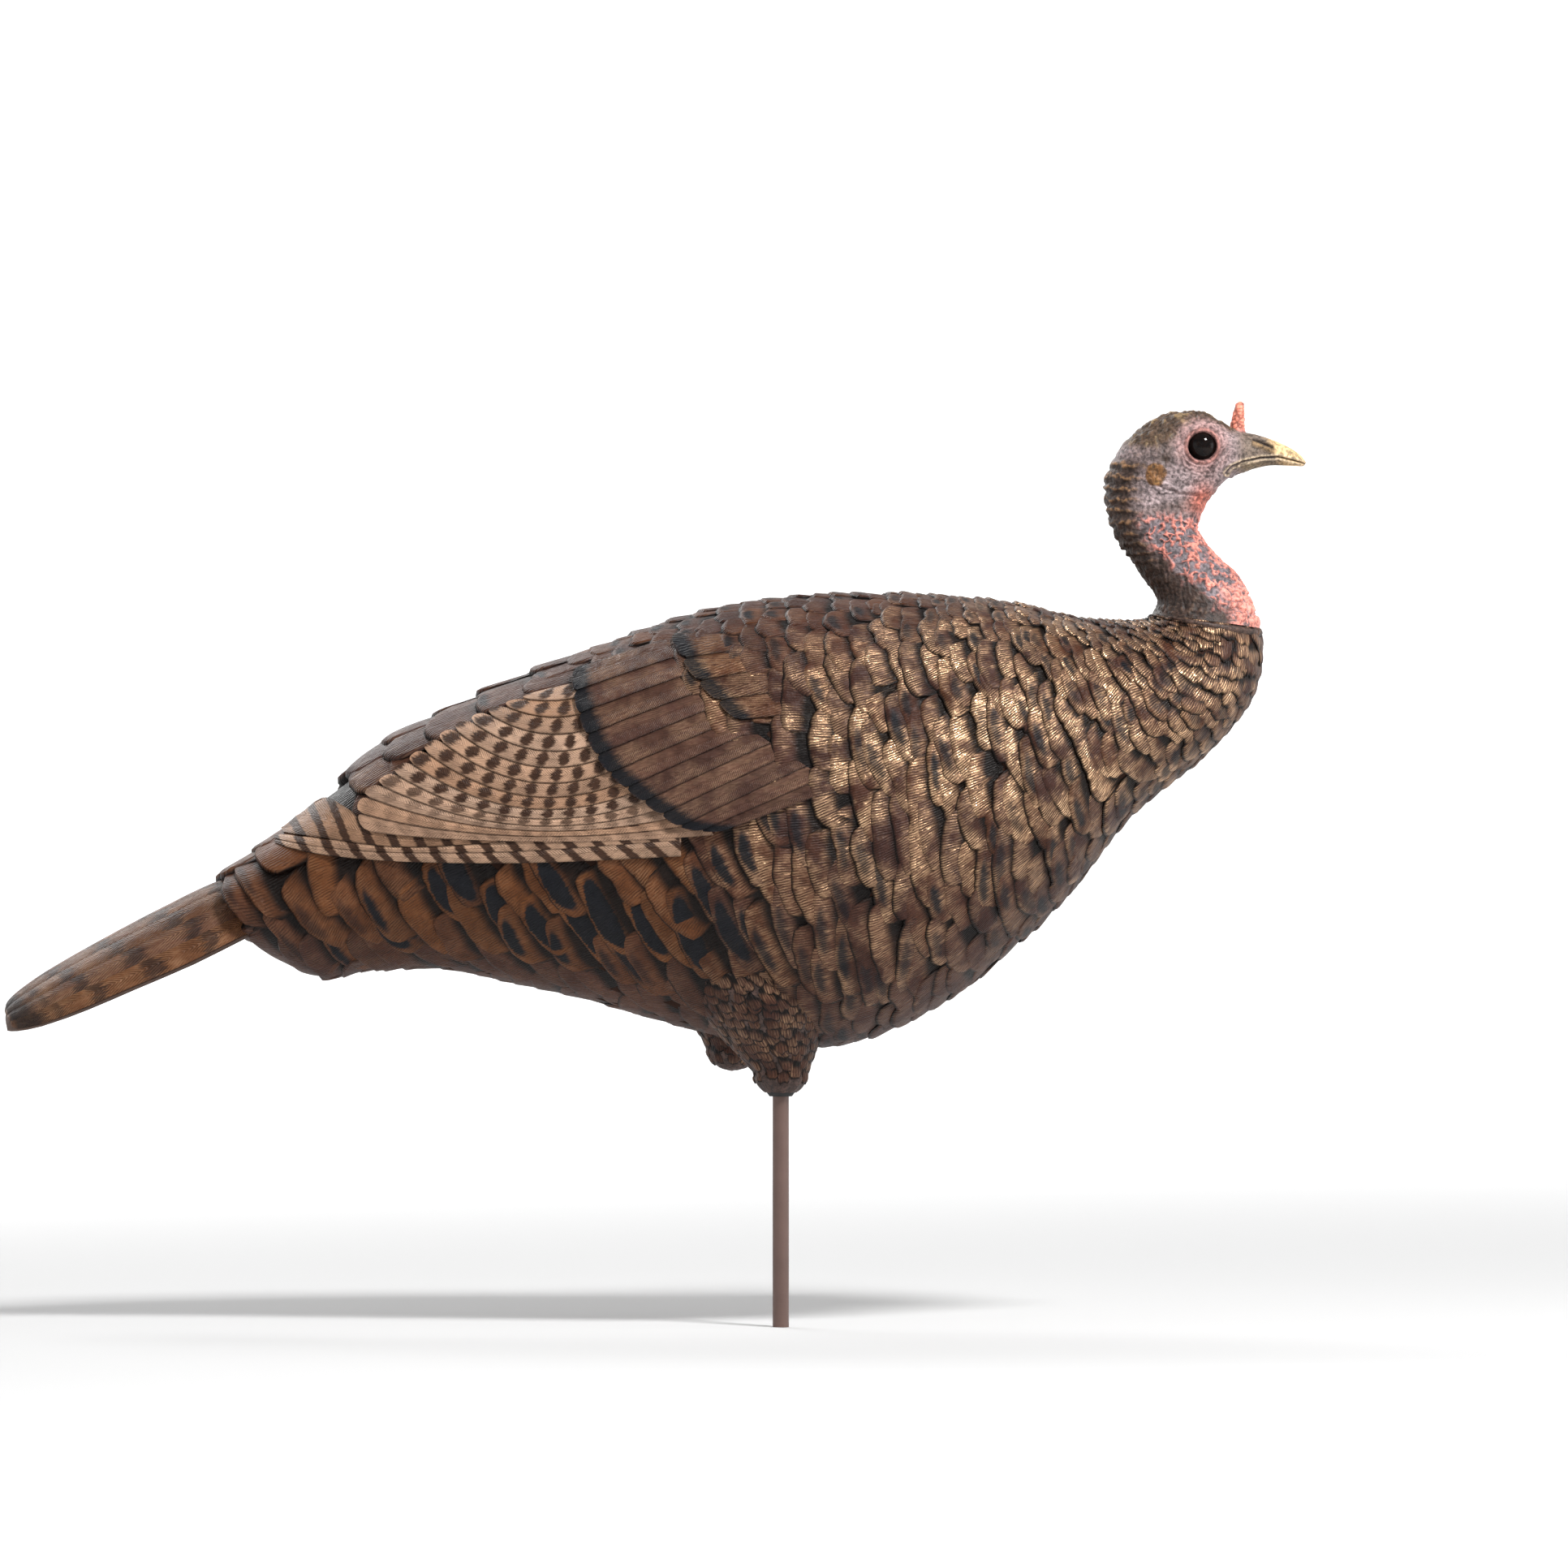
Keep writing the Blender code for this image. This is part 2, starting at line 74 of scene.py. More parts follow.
def spline(rows, t):
    """Points on a Catmull-Rom curve through rows; t counts rows."""
    rows = np.asarray(rows, float)
    ends = np.vstack([2 * rows[0] - rows[1], rows, 2 * rows[-1] - rows[-2]])
    i = np.clip(np.floor(t).astype(int), 0, len(rows) - 2)
    f = (t - i)[..., None]
    a, b, c, d = ends[i], ends[i + 1], ends[i + 2], ends[i + 3]
    return 0.5 * (2 * b + (c - a) * f + (2 * a - 5 * b + 4 * c - d) * f**2 + (3 * b - a - 3 * c + d) * f**3)


def along(points, share):
    """Points at these shares of the way along a smooth curve through a few points."""
    fine = spline(np.array(points, float), np.linspace(0, len(points) - 1, 200))
    run = np.concatenate([[0], np.cumsum(np.linalg.norm(np.diff(fine, axis=0), axis=1))])
    at = np.asarray(share) * run[-1]
    return np.stack([np.interp(at, run, column) for column in fine.T], -1)


def ease(low, high, value):
    t = np.clip((value - low) / (high - low), 0, 1)
    return t * t * (3 - 2 * t)


def bell(distance, width):
    return np.exp(-((distance / width) ** 2))


class Skin:
    """A moulding's outside. u runs from its rear to its front in metres. v is 0 on the back line
    and goes to -1 down the right side and to 1 down the left, where the two meet."""

    def __init__(self, sections, power, middle, rows, columns, overhang=0):
        rows_mm = np.array(sections, float)
        if overhang:
            step = rows_mm[0] - rows_mm[1]
            rows_mm = np.vstack([rows_mm[0] + step * overhang / np.linalg.norm(step[:2]), rows_mm])
        fine = spline(rows_mm * MM, np.linspace(0, len(rows_mm) - 1, 60 * len(rows_mm)))
        moved = np.diff(fine, axis=0)
        run = np.linalg.norm(moved[:, :2], axis=1) + np.linalg.norm(moved[:, 2:4], axis=1)
        u = np.concatenate([[0], np.cumsum(run / 2)])
        first = np.interp(1, np.linspace(0, len(rows_mm) - 1, len(u)), u) if overhang else 0
        self.start, self.end = -first, u[-1] - first
        table = np.stack([np.interp(np.linspace(0, u[-1], rows), u, fine[:, k]) for k in range(5)], -1)
        theta = np.linspace(0, math.pi, 241)
        rise, out = np.cos(theta), np.abs(np.sin(theta)) ** (2 / power)
        reach = np.abs(rise) ** (2 / power)
        share = np.where(rise > 0, middle - reach * middle, middle + reach * (1 - middle))
        back, belly = table[:, None, :2], table[:, None, 2:4]
        line = back + share[None, :, None] * (belly - back)
        half = np.concatenate([line, (table[:, 4:5] * out)[..., None]], -1)
        run = np.linalg.norm(np.diff(half, axis=1), axis=2)
        arc = np.concatenate([np.zeros((rows, 1)), np.cumsum(run, 1)], 1)
        self.girth = arc[:, -1]
        even = np.linspace(0, 1, columns)
        half = np.stack([
            np.stack([np.interp(even * a[-1], a, h[:, k]) for k in range(3)], -1)
            for a, h in zip(arc, half, strict=True)
        ])
        left = np.stack([half[..., 0], MID_Y + half[..., 2], half[..., 1]], -1)
        right = np.stack([half[..., 0], MID_Y - half[..., 2], half[..., 1]], -1)
        self.points = np.concatenate([right[:, :0:-1], left], 1)
        run_u, run_v = np.gradient(self.points, axis=0), np.gradient(self.points, axis=1)
        normals = np.cross(run_u, run_v)
        self.normals = normals / np.maximum(np.linalg.norm(normals, axis=-1, keepdims=True), 1e-12)
        self.rows, self.columns = rows, self.points.shape[1]

    def half_girth(self, u):
        return np.interp(u, np.linspace(self.start, self.end, self.rows), self.girth)

    def at(self, u, v):
        """The points and outward normals at these coordinates."""
        i = np.clip((u - self.start) / (self.end - self.start), 0, 1) * (self.rows - 1)
        j = ((np.asarray(v) + 1) % 2) / 2 * (self.columns - 1)
        i0, j0 = np.minimum(i.astype(int), self.rows - 2), np.minimum(j.astype(int), self.columns - 2)
        fi, fj = (i - i0)[..., None], (j - j0)[..., None]

        def mix(grid):
            low = grid[i0, j0] * (1 - fj) + grid[i0, j0 + 1] * fj
            return low * (1 - fi) + (grid[i0 + 1, j0] * (1 - fj) + grid[i0 + 1, j0 + 1] * fj) * fi

        normal = mix(self.normals)
        return mix(self.points), normal / np.linalg.norm(normal, axis=-1, keepdims=True)


# ---- meshes

def grid_faces(rows, columns, wrap=False):
    """Quads over one grid of points, rows by columns."""
    index = np.arange(rows * columns).reshape(rows, columns)
    if wrap:
        index = np.concatenate([index, index[:, :1]], 1)
    quads = np.stack([index[:-1, :-1], index[1:, :-1], index[1:, 1:], index[:-1, 1:]], -1)
    return quads.reshape(-1, 4)


def make_mesh(name, points, quads, attributes, material, body, sharp=None):
    """An object of quads that rides on a body. Attributes are a number, or three, at each point."""
    mesh = bpy.data.meshes.new(name)
    points = points.reshape(-1, 3)
    mesh.vertices.add(len(points))
    mesh.vertices.foreach_set("co", points.astype(np.float32).ravel())
    mesh.loops.add(quads.size)
    mesh.loops.foreach_set("vertex_index", quads.astype(np.int32).ravel())
    mesh.polygons.add(len(quads))
    mesh.polygons.foreach_set("loop_start", np.arange(0, quads.size, 4, dtype=np.int32))
    mesh.update(calc_edges=True)
    for key, values in attributes.items():
        kind = "FLOAT" if values.size == len(points) else "FLOAT_VECTOR"
        layer = mesh.attributes.new(key, kind, "POINT")
        layer.data.foreach_set("value" if kind == "FLOAT" else "vector", values.astype(np.float32).ravel())
    mesh.shade_smooth()
    if sharp:
        mesh.set_sharp_from_angle(angle=math.radians(sharp))
    mesh.materials.append(material)
    obj = bpy.data.objects.new(name, mesh)
    bpy.context.scene.collection.objects.link(obj)
    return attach(obj, body)


def painted_tube(name, points, colour, material, body):
    """An object from rings of points, rows by columns, with a colour at each point."""
    quads = grid_faces(*points.shape[:2], wrap=True)
    return make_mesh(name, points, quads, {"paint": colour}, material, body)


# ---- materials

class Value:
    """What a node gives. Arithmetic on it adds math nodes."""

    def __init__(self, tree, socket):
        self.tree, self.socket = tree, socket

    def __add__(self, other):
        return self.tree.math("ADD", self, other)

    def __sub__(self, other):
        return self.tree.math("SUBTRACT", self, other)

    def __rsub__(self, other):
        return self.tree.math("SUBTRACT", other, self)

    def __mul__(self, other):
        return self.tree.math("MULTIPLY", self, other)

    def __abs__(self):
        return self.tree.math("ABSOLUTE", self)

    __radd__, __rmul__ = __add__, __mul__


class Tree:
    """A material's nodes, with short calls for the ones used here."""

    def __init__(self, name):
        self.material = bpy.data.materials.new(name)
        self.material.use_nodes = True
        self.nodes = self.material.node_tree.nodes
        self.links = self.material.node_tree.links
        self.shader = self.nodes["Principled BSDF"]

    def node(self, kind, *inputs, **settings):
        made = self.nodes.new(kind)
        for key, value in settings.items():
            setattr(made, key, value)
        for k, value in enumerate(inputs):
            self.put(made.inputs[k], value)
        return made

    def value(self, kind, *inputs, output=0, **settings):
        return Value(self, self.node(kind, *inputs, **settings).outputs[output])

    def put(self, socket, value):
        if isinstance(value, Value):
            self.links.new(value.socket, socket)
        else:
            socket.default_value = value

    def math(self, operation, *inputs):
        return self.value("ShaderNodeMath", *inputs, operation=operation)

    def wave(self, value, length):
        return self.math("SINE", value * (math.tau / length))

    def split(self, vector):
        """The three numbers of a vector."""
        return [Value(self, socket) for socket in self.node("ShaderNodeSeparateXYZ", vector).outputs]

    def attribute(self, name, output="Vector"):
        return self.value("ShaderNodeAttribute", attribute_name=name, output=output)

    def vector(self, x, y, z):
        return self.value("ShaderNodeCombineXYZ", x, y, z)

    def noise(self, vector, scale, detail=3.0):
        made = self.node("ShaderNodeTexNoise")
        for key, value in (("Vector", vector), ("Scale", scale), ("Detail", detail), ("Roughness", 0.55)):
            self.put(made.inputs[key], value)
        return Value(self, made.outputs[0])

    def step(self, value, low, high, to_low=0.0, to_high=1.0):
        inputs = (value, low, high, to_low, to_high)
        return self.value("ShaderNodeMapRange", *inputs, interpolation_type="SMOOTHSTEP")

    def mix(self, share, first, second):
        made = self.nodes.new("ShaderNodeMix")
        made.data_type = "RGBA"
        for k, value in ((0, share), (6, first), (7, second)):
            self.put(made.inputs[k], value)
        return Value(self, made.outputs[2])

    def times(self, colour, value):
        if not isinstance(colour, Value):
            colour = colour[:3]
        grey = self.vector(value, value, value)
        return self.value("ShaderNodeVectorMath", colour, grey, operation="MULTIPLY")

    def place(self):
        return self.value("ShaderNodeTexCoord", output="Object")

    def finish(self, colour, roughness, metallic, height=None, specular=0.5):
        """height is in millimetres."""
        self.put(self.shader.inputs["Base Color"], colour)
        self.put(self.shader.inputs["Roughness"], roughness)
        self.put(self.shader.inputs["Metallic"], metallic)
        self.shader.inputs["Specular IOR Level"].default_value = specular
        if height is not None:
            bump = self.nodes.new("ShaderNodeBump")
            bump.inputs["Distance"].default_value = MM
            self.put(bump.inputs["Height"], height)
            self.links.new(bump.outputs[0], self.shader.inputs["Normal"])
        return self.material


BROWN = (0.046, 0.0165, 0.0112, 1)
WARM = (0.105, 0.034, 0.0085, 1)
BLACK = (0.0035, 0.004, 0.0065, 1)
BRONZE = (0.93, 0.60, 0.36, 1)


def feather_material(name, pattern, base=BROWN, warm=WARM, slant=0.10, pitch=1.5, relief=0.2,
                     ink=BLACK, fringe=1.0):
    """Painted feathers. The attribute quill holds millimetres across, millimetres back from the
    tip and a random number; plume holds the same two as shares, and how deep in shade it lies;
    paint holds how much black, bronze and warm brown it wears. Barbs run pitch millimetres apart."""
    tree = Tree(name)
    quill = tree.attribute("quill")
    across, back, seed = tree.split(quill)
    side, tip, shade = tree.split(tree.attribute("plume"))
    black, bronze, warmth = tree.split(tree.attribute("paint"))
    place = tree.place()
    off_shaft = abs(across)
    barb = off_shaft + slant * (back + 0.25 * off_shaft) + 1.1 * tree.noise(quill, 0.35, 2)
    patchy = tree.noise(quill, 0.16)
    barbs = tree.wave(barb, pitch) * tree.step(patchy, 0.36, 0.62, 0.25, 1.0)
    mottle = tree.noise(place, 55, 4)
    grain = tree.noise(place, 420)
    fuzz = tree.noise(tree.vector(0.9 * across, 0.16 * back, seed), 1.0)

    colour = tree.times(tree.mix(warmth, base, warm), 0.55 + 0.9 * mottle)
    colour = tree.times(colour, 0.85 + 0.35 * seed)
    dark = tree.math("MINIMUM", black * pattern(tree, across, back, side, seed, fuzz, black), 1.0)
    colour = tree.mix(dark, colour, ink)
    # Metal paint wiped over the ridges, strongest towards the tip.
    high = 0.1 + 0.9 * tree.step(fuzz + 0.2 * barbs, 0.34, 0.72)
    wiped = high * tree.step(tip, 0.45, 0.95, 0.25, fringe) * bronze
    wiped = wiped * tree.step(mottle, 0.36, 0.62) * (1.0 - 0.92 * dark)
    colour = tree.mix(wiped, colour, BRONZE)
    # Painted shade: darker between the barbs, and much darker where the feather in front covers this one.
    painted_groove_shade = tree.step(barbs, -1.0, 0.0, 0.6, 1.05)
    colour = tree.times(colour, painted_groove_shade * tree.step(shade, 0.0, 1.0, 1.0, 0.06))
    shaft = tree.step(off_shaft, 0.0, 0.55, 1.0, 0.0)
    height = relief * barbs + 0.25 * shaft + 0.25 * grain + 0.5 * fuzz + 1.1 * patchy
    roughness = 0.38 + 0.2 * grain - 0.27 * wiped
    metallic = tree.step(wiped, 0.0, 0.35, 0.0, 0.95)
    return tree.finish(colour, roughness, metallic, height, specular=0.2)


# Each pattern gives how black a feather is at a point, from 0 to 1.

def barred(tree, across, back, side, seed, fuzz, black):
    """One soft bar near the tip of each feather. It grows to an oval where black is over 1."""
    more = tree.math("MAXIMUM", black - 1.0, 0.0)
    at = back + 4.0 * fuzz
    wide = side * side
    near = tree.step(at - 7.0 * wide, 3.0, 6.0)
    far = tree.step(at + 5.0 * wide - 8.0 * more, 8.0, 12.5, 1.0, 0.0)
    return near * far * tree.step(abs(side) - 0.25 * more, 0.35, 0.72, 1.0, 0.0)


def tipped(tree, across, back, side, seed, fuzz, black):
    """A dark end."""
    at = back + 7.0 * fuzz
    return tree.step(at, 2.5, 5.0, 0.7, 1.0) * tree.step(at, 10.0, 18.0, 1.0, 0.0)


def spotted(tree, across, back, side, seed, fuzz, black):
    """Rows of soft brown spots."""
    spots = tree.wave(back + 6.5 * fuzz + 13.0 * seed, 13.0)
    return tree.step(spots - 1.3 * side * side, -0.75, 0.45)


def chevroned(tree, across, back, side, seed, fuzz, black):
    """Slanting bars."""
    return tree.step(tree.wave(back + 3.0 * fuzz - 1.1 * across + 5.0 * seed, 15.5), 0.05, 0.65)


def wavy(tree, across, back, side, seed, fuzz, black):
    """The tail's thin crooked bars and its dark end."""
    bent = back + 0.35 * abs(across) + 12.0 * fuzz
    thin = tree.step(tree.wave(bent, 21.0), 0.35, 0.95, 0.0, 0.8) * tree.step(back, 30.0, 48.0)
    end = tree.step(bent, 10.0, 18.0) * tree.step(bent, 34.0, 46.0, 1.0, 0.0)
    return tree.math("MAXIMUM", thin, end)


def plastic(name, colour, roughness, grain_mm=0.05, scale=500, metallic=0.0, specular=0.5):
    """Moulded plastic, rubber or paint with a fine grain."""
    tree = Tree(name)
    place = tree.place()
    shown = tree.times(colour, 0.7 + 0.6 * tree.noise(place, 40, 4))
    fine = tree.noise(place, scale)
    return tree.finish(shown, 0.25 * fine + (roughness - 0.12), metallic, grain_mm * fine, specular)


# ---- feathers laid on a skin

def rim_of(rows, columns):
    """1 on a plate's two sides and its end, and 0 on the rest of its grid."""
    rim = np.zeros((rows, columns))
    rim[-1], rim[:, 0], rim[:, -1] = 1, 1, 1
    return rim


def rounded(side, power):
    """How far a plate's end draws back: 0 in the middle and 1 at its sides."""
    return 1 - (1 - np.abs(side) ** power) ** (1 / power)


def feather_plates(skin, tip_u, v, length, width, turn, lift, exposed, blunt, sink=1.4, columns=19):
    """Overlapping plates that point to the rear, each a grid of points with a rounded edge that goes
    down into the plate beneath. Sizes are in millimetres, one number for each feather."""
    count = len(tip_u)
    tip_u, v, length, width, turn, lift, exposed, blunt = (
        np.broadcast_to(np.asarray(values, float), (count,))[:, None, None]
        for values in (tip_u, v, length, width, turn, lift, exposed, blunt)
    )
    side = np.concatenate([[-1], np.linspace(-1, 1, columns), [1]])
    knots = RNG.normal(0, 1, (count, 5))
    bends = spline(knots.T, (side + 1) * 2).T[:, None]
    torn = 0.8 * bends + RNG.normal(0, 0.22, (count, columns + 2))[:, None]
    a = side[None, None]
    b = np.array((0, 0.3, 0.55, 0.72, 0.82, 0.89, 0.94, 0.975, 1, 1))[None, :, None]
    rim = rim_of(b.size, a.size)[None]

    far = length * b * (1 - blunt * rounded(a, 2.8)) + torn * b**3
    wide = width / 2 * a * (0.84 + 0.16 * b)
    centre = length * 0.6
    ahead = centre + (far - centre) * np.cos(turn) - wide * np.sin(turn)
    across = wide * np.cos(turn) + (far - centre) * np.sin(turn)
    share = far / length
    back = (1 - b) * length * np.ones_like(far)
    to_edge = np.minimum(back, (1 - np.abs(a)) * width / 2)
    height = -sink + lift * (1.15 - 0.15 * b) * b**1.2
    height = height - 0.42 * lift * (1 - ease(0, 2.6, to_edge)) * b**2
    ripple = 0.35 * bell((a - 0.5 * bends[..., 4:5]) * 3, 1) * b
    height = height + ripple + 0.5 * (1 - a**2) * share - rim * (1.4 + 0.25 * lift)
    u = tip_u + (length - ahead) * MM
    points, normals = skin.at(u, v + across * MM / skin.half_girth(tip_u))
    points = points + normals * (height * MM)[..., None]
    open_to = exposed * (1.35 - 0.25 * np.abs(a))
    shade = 1 - ease(-0.08, 0.42, (open_to - back) / exposed)
    shade = np.maximum(shade, rim * 0.9)
    shade = np.maximum(shade, 1 - ease(0.1, 1.9, to_edge))
    return points, wide, back, np.broadcast_to(a, far.shape), share, shade


def plate_mesh(name, plates, seed, paint, material, body):
    """One object from many plates. seed and paint are for each plate."""
    points, wide, back, side, share, shade = plates
    count, rows, columns = wide.shape
    one = grid_faces(rows, columns)
    quads = (one[None] + (np.arange(count) * rows * columns)[:, None, None]).reshape(-1, 4)
    each_seed = np.broadcast_to(seed[:, None, None], wide.shape)
    each_paint = np.broadcast_to(paint[:, None, None, :], (*wide.shape, 3))
    attributes = {
        "quill": np.stack([wide, back, each_seed], -1),
        "plume": np.stack([side, share, shade], -1),
        "paint": np.ascontiguousarray(each_paint),
    }
    return make_mesh(name, points, quads, attributes, material, body, sharp=50)


def inside(outline, points):
    """Which points lie inside a closed outline."""
    x, z = points[..., 0], points[..., 1]
    found = np.zeros(x.shape, bool)
    for (x0, z0), (x1, z1) in zip(outline, np.roll(outline, -1, axis=0), strict=True):
        crosses = (z0 > z) != (z1 > z)
        found ^= crosses & (x < (x1 - x0) * (z - z0) / (z1 - z0 + 1e-12) + x0)
    return found


# The outline of the folded wing, x and z, inside which the body has no feathers.
WING_OUTLINE = np.array((
    (-119, 382), (-63, 400), (-44, 354), (22, 314), (-9, 304), (-36, 293), (-72, 291), (-76, 276),
    (-206, 272), (-257, 273), (-290, 277), (-288, 292), (-262, 302), (-240, 295), (-228, 310), (-200, 332),
    (-173, 349), (-131, 370),
)) * MM


def body_rows(skin):
    """Where the body's feathers go: each tip's u and v, then its length, width and pitch, and its
    row's place along the body, in millimetres."""
    found = []
    u = skin.start + 0.003
    share = np.linspace(-1, 1, 201)
    while u < skin.end + 0.003:
        mid_x = float(skin.at(np.array([u]), np.array([0.5]))[0][0, 0]) / MM
        pitch = np.interp(mid_x, (-320, -200, -60, 60, 130, 180, 215, 240, 262),
                          (14.5, 14.5, 12.5, 11, 10.5, 9, 7, 5.6, 4.6))
        broad = np.interp(mid_x, (-320, -200, -60, 80, 140, 180, 215, 240, 262),
                          (58, 46, 50, 48, 42, 34, 24, 17, 12))
        narrow = np.interp(mid_x, (-320, -200, -60, 80, 180, 262), (26, 28, 22, 20, 18, 10))
        width = np.interp(np.abs(share), (0, 0.12, 0.26, 0.45, 0.85, 1),
                          (narrow, narrow, broad * 0.75, broad, broad, broad * 0.8))
        density = float(skin.half_girth(u)) / MM / (0.74 * width)
        places = np.concatenate([[0], np.cumsum((density[1:] + density[:-1]) / 2 * np.diff(share))])
        count = round(places[-1])
        odd = len(found) % 2
        wanted = (np.arange(count) + 0.25 + 0.5 * odd + RNG.normal(0, 0.16, count)) / count
        v = np.interp(wanted % 1, places / places[-1], share)
        row = np.zeros((count, 6))
        row[:, 0] = u + RNG.normal(0, 0.17, count) * pitch * MM
        row[:, 1] = v
        row[:, 3] = np.interp(v, share, width) * RNG.uniform(0.8, 1.25, count)
        row[:, 2] = pitch * RNG.uniform(2.8, 3.2, count)
        row[:, 4], row[:, 5] = pitch, mid_x
        # The rump's top has bigger feathers, in every other row.
        top = (np.abs(v) < 0.27) & (mid_x < -110)
        row[top, 2] *= 1.7
        row[top, 4] *= 2
        found.append(row[~top] if odd else row)
        u += pitch * MM
    return np.concatenate(found)


def body_paint(points, v):
    """How much black, bronze and warm brown a feather wears, by where its tip lies. The bronze is partly
    painted highlight and painted shade.
    """
    x, z = points[:, 0] / MM, points[:, 2] / MM
    low = np.abs(v)
    count = len(x)
    under = ease(-20, -90, x) * ease(300, 270, z)
    flank = ease(60, -40, x) * ease(300, 260, z)
    chance = np.clip(0.38 + 0.44 * flank - 0.16 * ease(0.22, 0.0, low) * ease(0, 60, x), 0, 1)
    black = (RNG.uniform(0, 1, count) < chance) * RNG.uniform(0.6, 1.0, count)
    black *= 1 - 0.45 * ease(215, 262, x)
    black *= 1 + ease(20, -60, x) * ease(300, 270, z)
    # Bronze metal paint, thickest at the shoulder and mid-side where the key light falls brightest, and
    # thinned low down and underneath: partly real paint, partly painted highlight above and painted shade
    # below.
    shoulder = bell(x - 135, 120) * bell(z - 355, 62)
    side = bell(x - 60, 130) * bell(z - 265, 75)
    bronze = 0.14 + 1.0 * shoulder + 0.62 * side + 0.3 * bell(x - 250, 40)
    bronze *= (1 - 0.7 * under) * (1 - 0.45 * ease(300, 230, z))
    bronze *= 1 - 0.75 * ease(0.27, 0.08, low) * ease(150, 60, x)
    bronze *= RNG.uniform(0.45, 1.35, count)
    bronze *= 1 - 0.6 * ease(0.78, 0.98, low)
    rump = ease(-220, -270, x)
    warm = np.clip(0.1 + 0.9 * under - 0.35 * rump + RNG.normal(0, 0.15, count), 0, 1)
    warm *= 1 - 0.85 * ease(0.68, 0.82, low)
    black *= 1 - ease(-225, -250, x) * (0.7 - 0.4 * ease(0.5, 0.8, low))
    black *= 1 - ease(0.68, 0.80, low) * ease(30, -20, x)
    return np.stack([black, np.clip(bronze, 0.05, 1.25), warm], -1)


def body_feathers(skin, material):
    rows = body_rows(skin)
    ahead_of_tip, _ = skin.at(rows[:, 0] + 0.007, rows[:, 1])
    rows = rows[~inside(WING_OUTLINE, ahead_of_tip[:, [0, 2]])]
    tip_u, v, length, width, pitch, mid_x = rows.T
    count = len(rows)
    at_tip, _ = skin.at(tip_u, v)
    x, low = at_tip[:, 0] / MM, np.abs(v)
    belly = ease(0.72, 0.84, low) * ease(-240, -190, x) * ease(70, 40, x)
    lift = np.interp(mid_x, (-320, -240, -60, 150, 260), (4.8, 4.6, 4.0, 3.7, 2.6))
    lift *= RNG.uniform(0.8, 1.2, count) * (1 - 0.6 * belly)
    lift *= 1 + 0.55 * (low < 0.27) * ease(-100, -160, mid_x) + 0.2 * ease(-235, -290, mid_x)
    swept = ease(10, -50, x) * ease(0.42, 0.52, low) * ease(0.92, 0.80, low)
    lean = np.interp(low, (0.10, 0.25, 0.45, 0.75, 0.95), (0, 0.30, 0.20, 0.12, 0))
    lean *= ease(-40, 30, x)
    turn = RNG.normal(0, 0.11, count) + (0.55 * swept + lean) * np.sign(v)
    paint = body_paint(at_tip, v)
    seed = RNG.uniform(0, 1, count)
    blunt = RNG.uniform(0.26, 0.42, count)
    sizes = (tip_u, v, length, width, turn, lift, pitch, blunt)
    bands = (("back", 0, 0.26), ("flank", 0.26, 0.52), ("side", 0.52, 0.76), ("belly", 0.76, 2))
    for side, label in ((-1, "right"), (1, "left")):
        for band, least, most in bands:
            pick = (v * side > 0) & (low >= least) & (low < most)
            if band == "belly" and side > 0:
                pick |= v >= 1
            plates = feather_plates(skin, *(values[pick] for values in sizes))
            name = f"feathers_{band}_{label}"
            plate_mesh(name, plates, seed[pick], paint[pick], material, "body")


# ---- wings

class Flank:
    """Drops points of the side view onto the body's right side."""

    def __init__(self, skin):
        points = skin.points[::3, : skin.columns // 2 + 1 : 3]
        faces = grid_faces(*points.shape[:2])
        self.tree = BVHTree.FromPolygons(points.reshape(-1, 3).tolist(), faces.tolist())

    def drop(self, places):
        points, normals = np.zeros((*places.shape[:-1], 3)), np.zeros((*places.shape[:-1], 3))
        for index in np.ndindex(places.shape[:-1]):
            x, z = places[index]
            hit, normal, _, _ = self.tree.ray_cast(Vector((x, -0.3, z)), Vector((0, 1, 0)))
            if hit is None:
                hit, normal, _, _ = self.tree.find_nearest(Vector((x, MID_Y - 0.012, z)))
            points[index], normals[index] = hit, normal if normal.y < 0 else -normal
        return points, normals


def strips(flank, upper, lower, base_height, tip_height, crown, step, blunt, columns=9, rows=30):
    """Long feathers side by side. upper and lower are each strip's two edges in the side view, as
    arrays of strips x rows x 2 in millimetres, from its root to its tip."""
    count = len(upper)
    across = np.concatenate([[0], np.linspace(0, 1, columns), [1]])
    a = across[None, None]
    b = np.concatenate([np.linspace(0, 1, rows), [1]])[None, :, None]
    side = 2 * a - 1
    rim = rim_of(rows + 1, columns + 2)[None]
    length = np.linalg.norm(np.diff((upper + lower) / 2, axis=1), axis=2).sum(1)[:, None, None]
    share = b * (1 - blunt / length * rounded(side, 2.3))
    place = np.zeros((*share.shape, 2))
    gap = np.zeros(share.shape)
    grid = np.linspace(0, 1, upper.shape[1])
    for k in range(count):
        top = np.stack([np.interp(share[k], grid, upper[k, :, c]) for c in (0, 1)], -1)
        bottom = np.stack([np.interp(share[k], grid, lower[k, :, c]) for c in (0, 1)], -1)
        place[k] = top + across[None, :, None] * (bottom - top)
        gap[k] = np.linalg.norm(bottom - top, axis=-1)
    points, normals = flank.drop(place * MM)
    lie = base_height + (tip_height - base_height) * share**0.7 + crown * (1 - side**2) + step * a
    lie = np.where(rim > 0, np.minimum(lie - 2.2, lie * 0.25 - 0.4), lie)
    points = points + normals * (lie * MM)[..., None]
    shade = np.maximum(rim * 0.8, 0.55 * ease(0.86, 1.0, np.abs(side))) * np.ones_like(share)
    return points, side * gap / 2, (1 - share) * length, np.broadcast_to(side, share.shape), share, shade


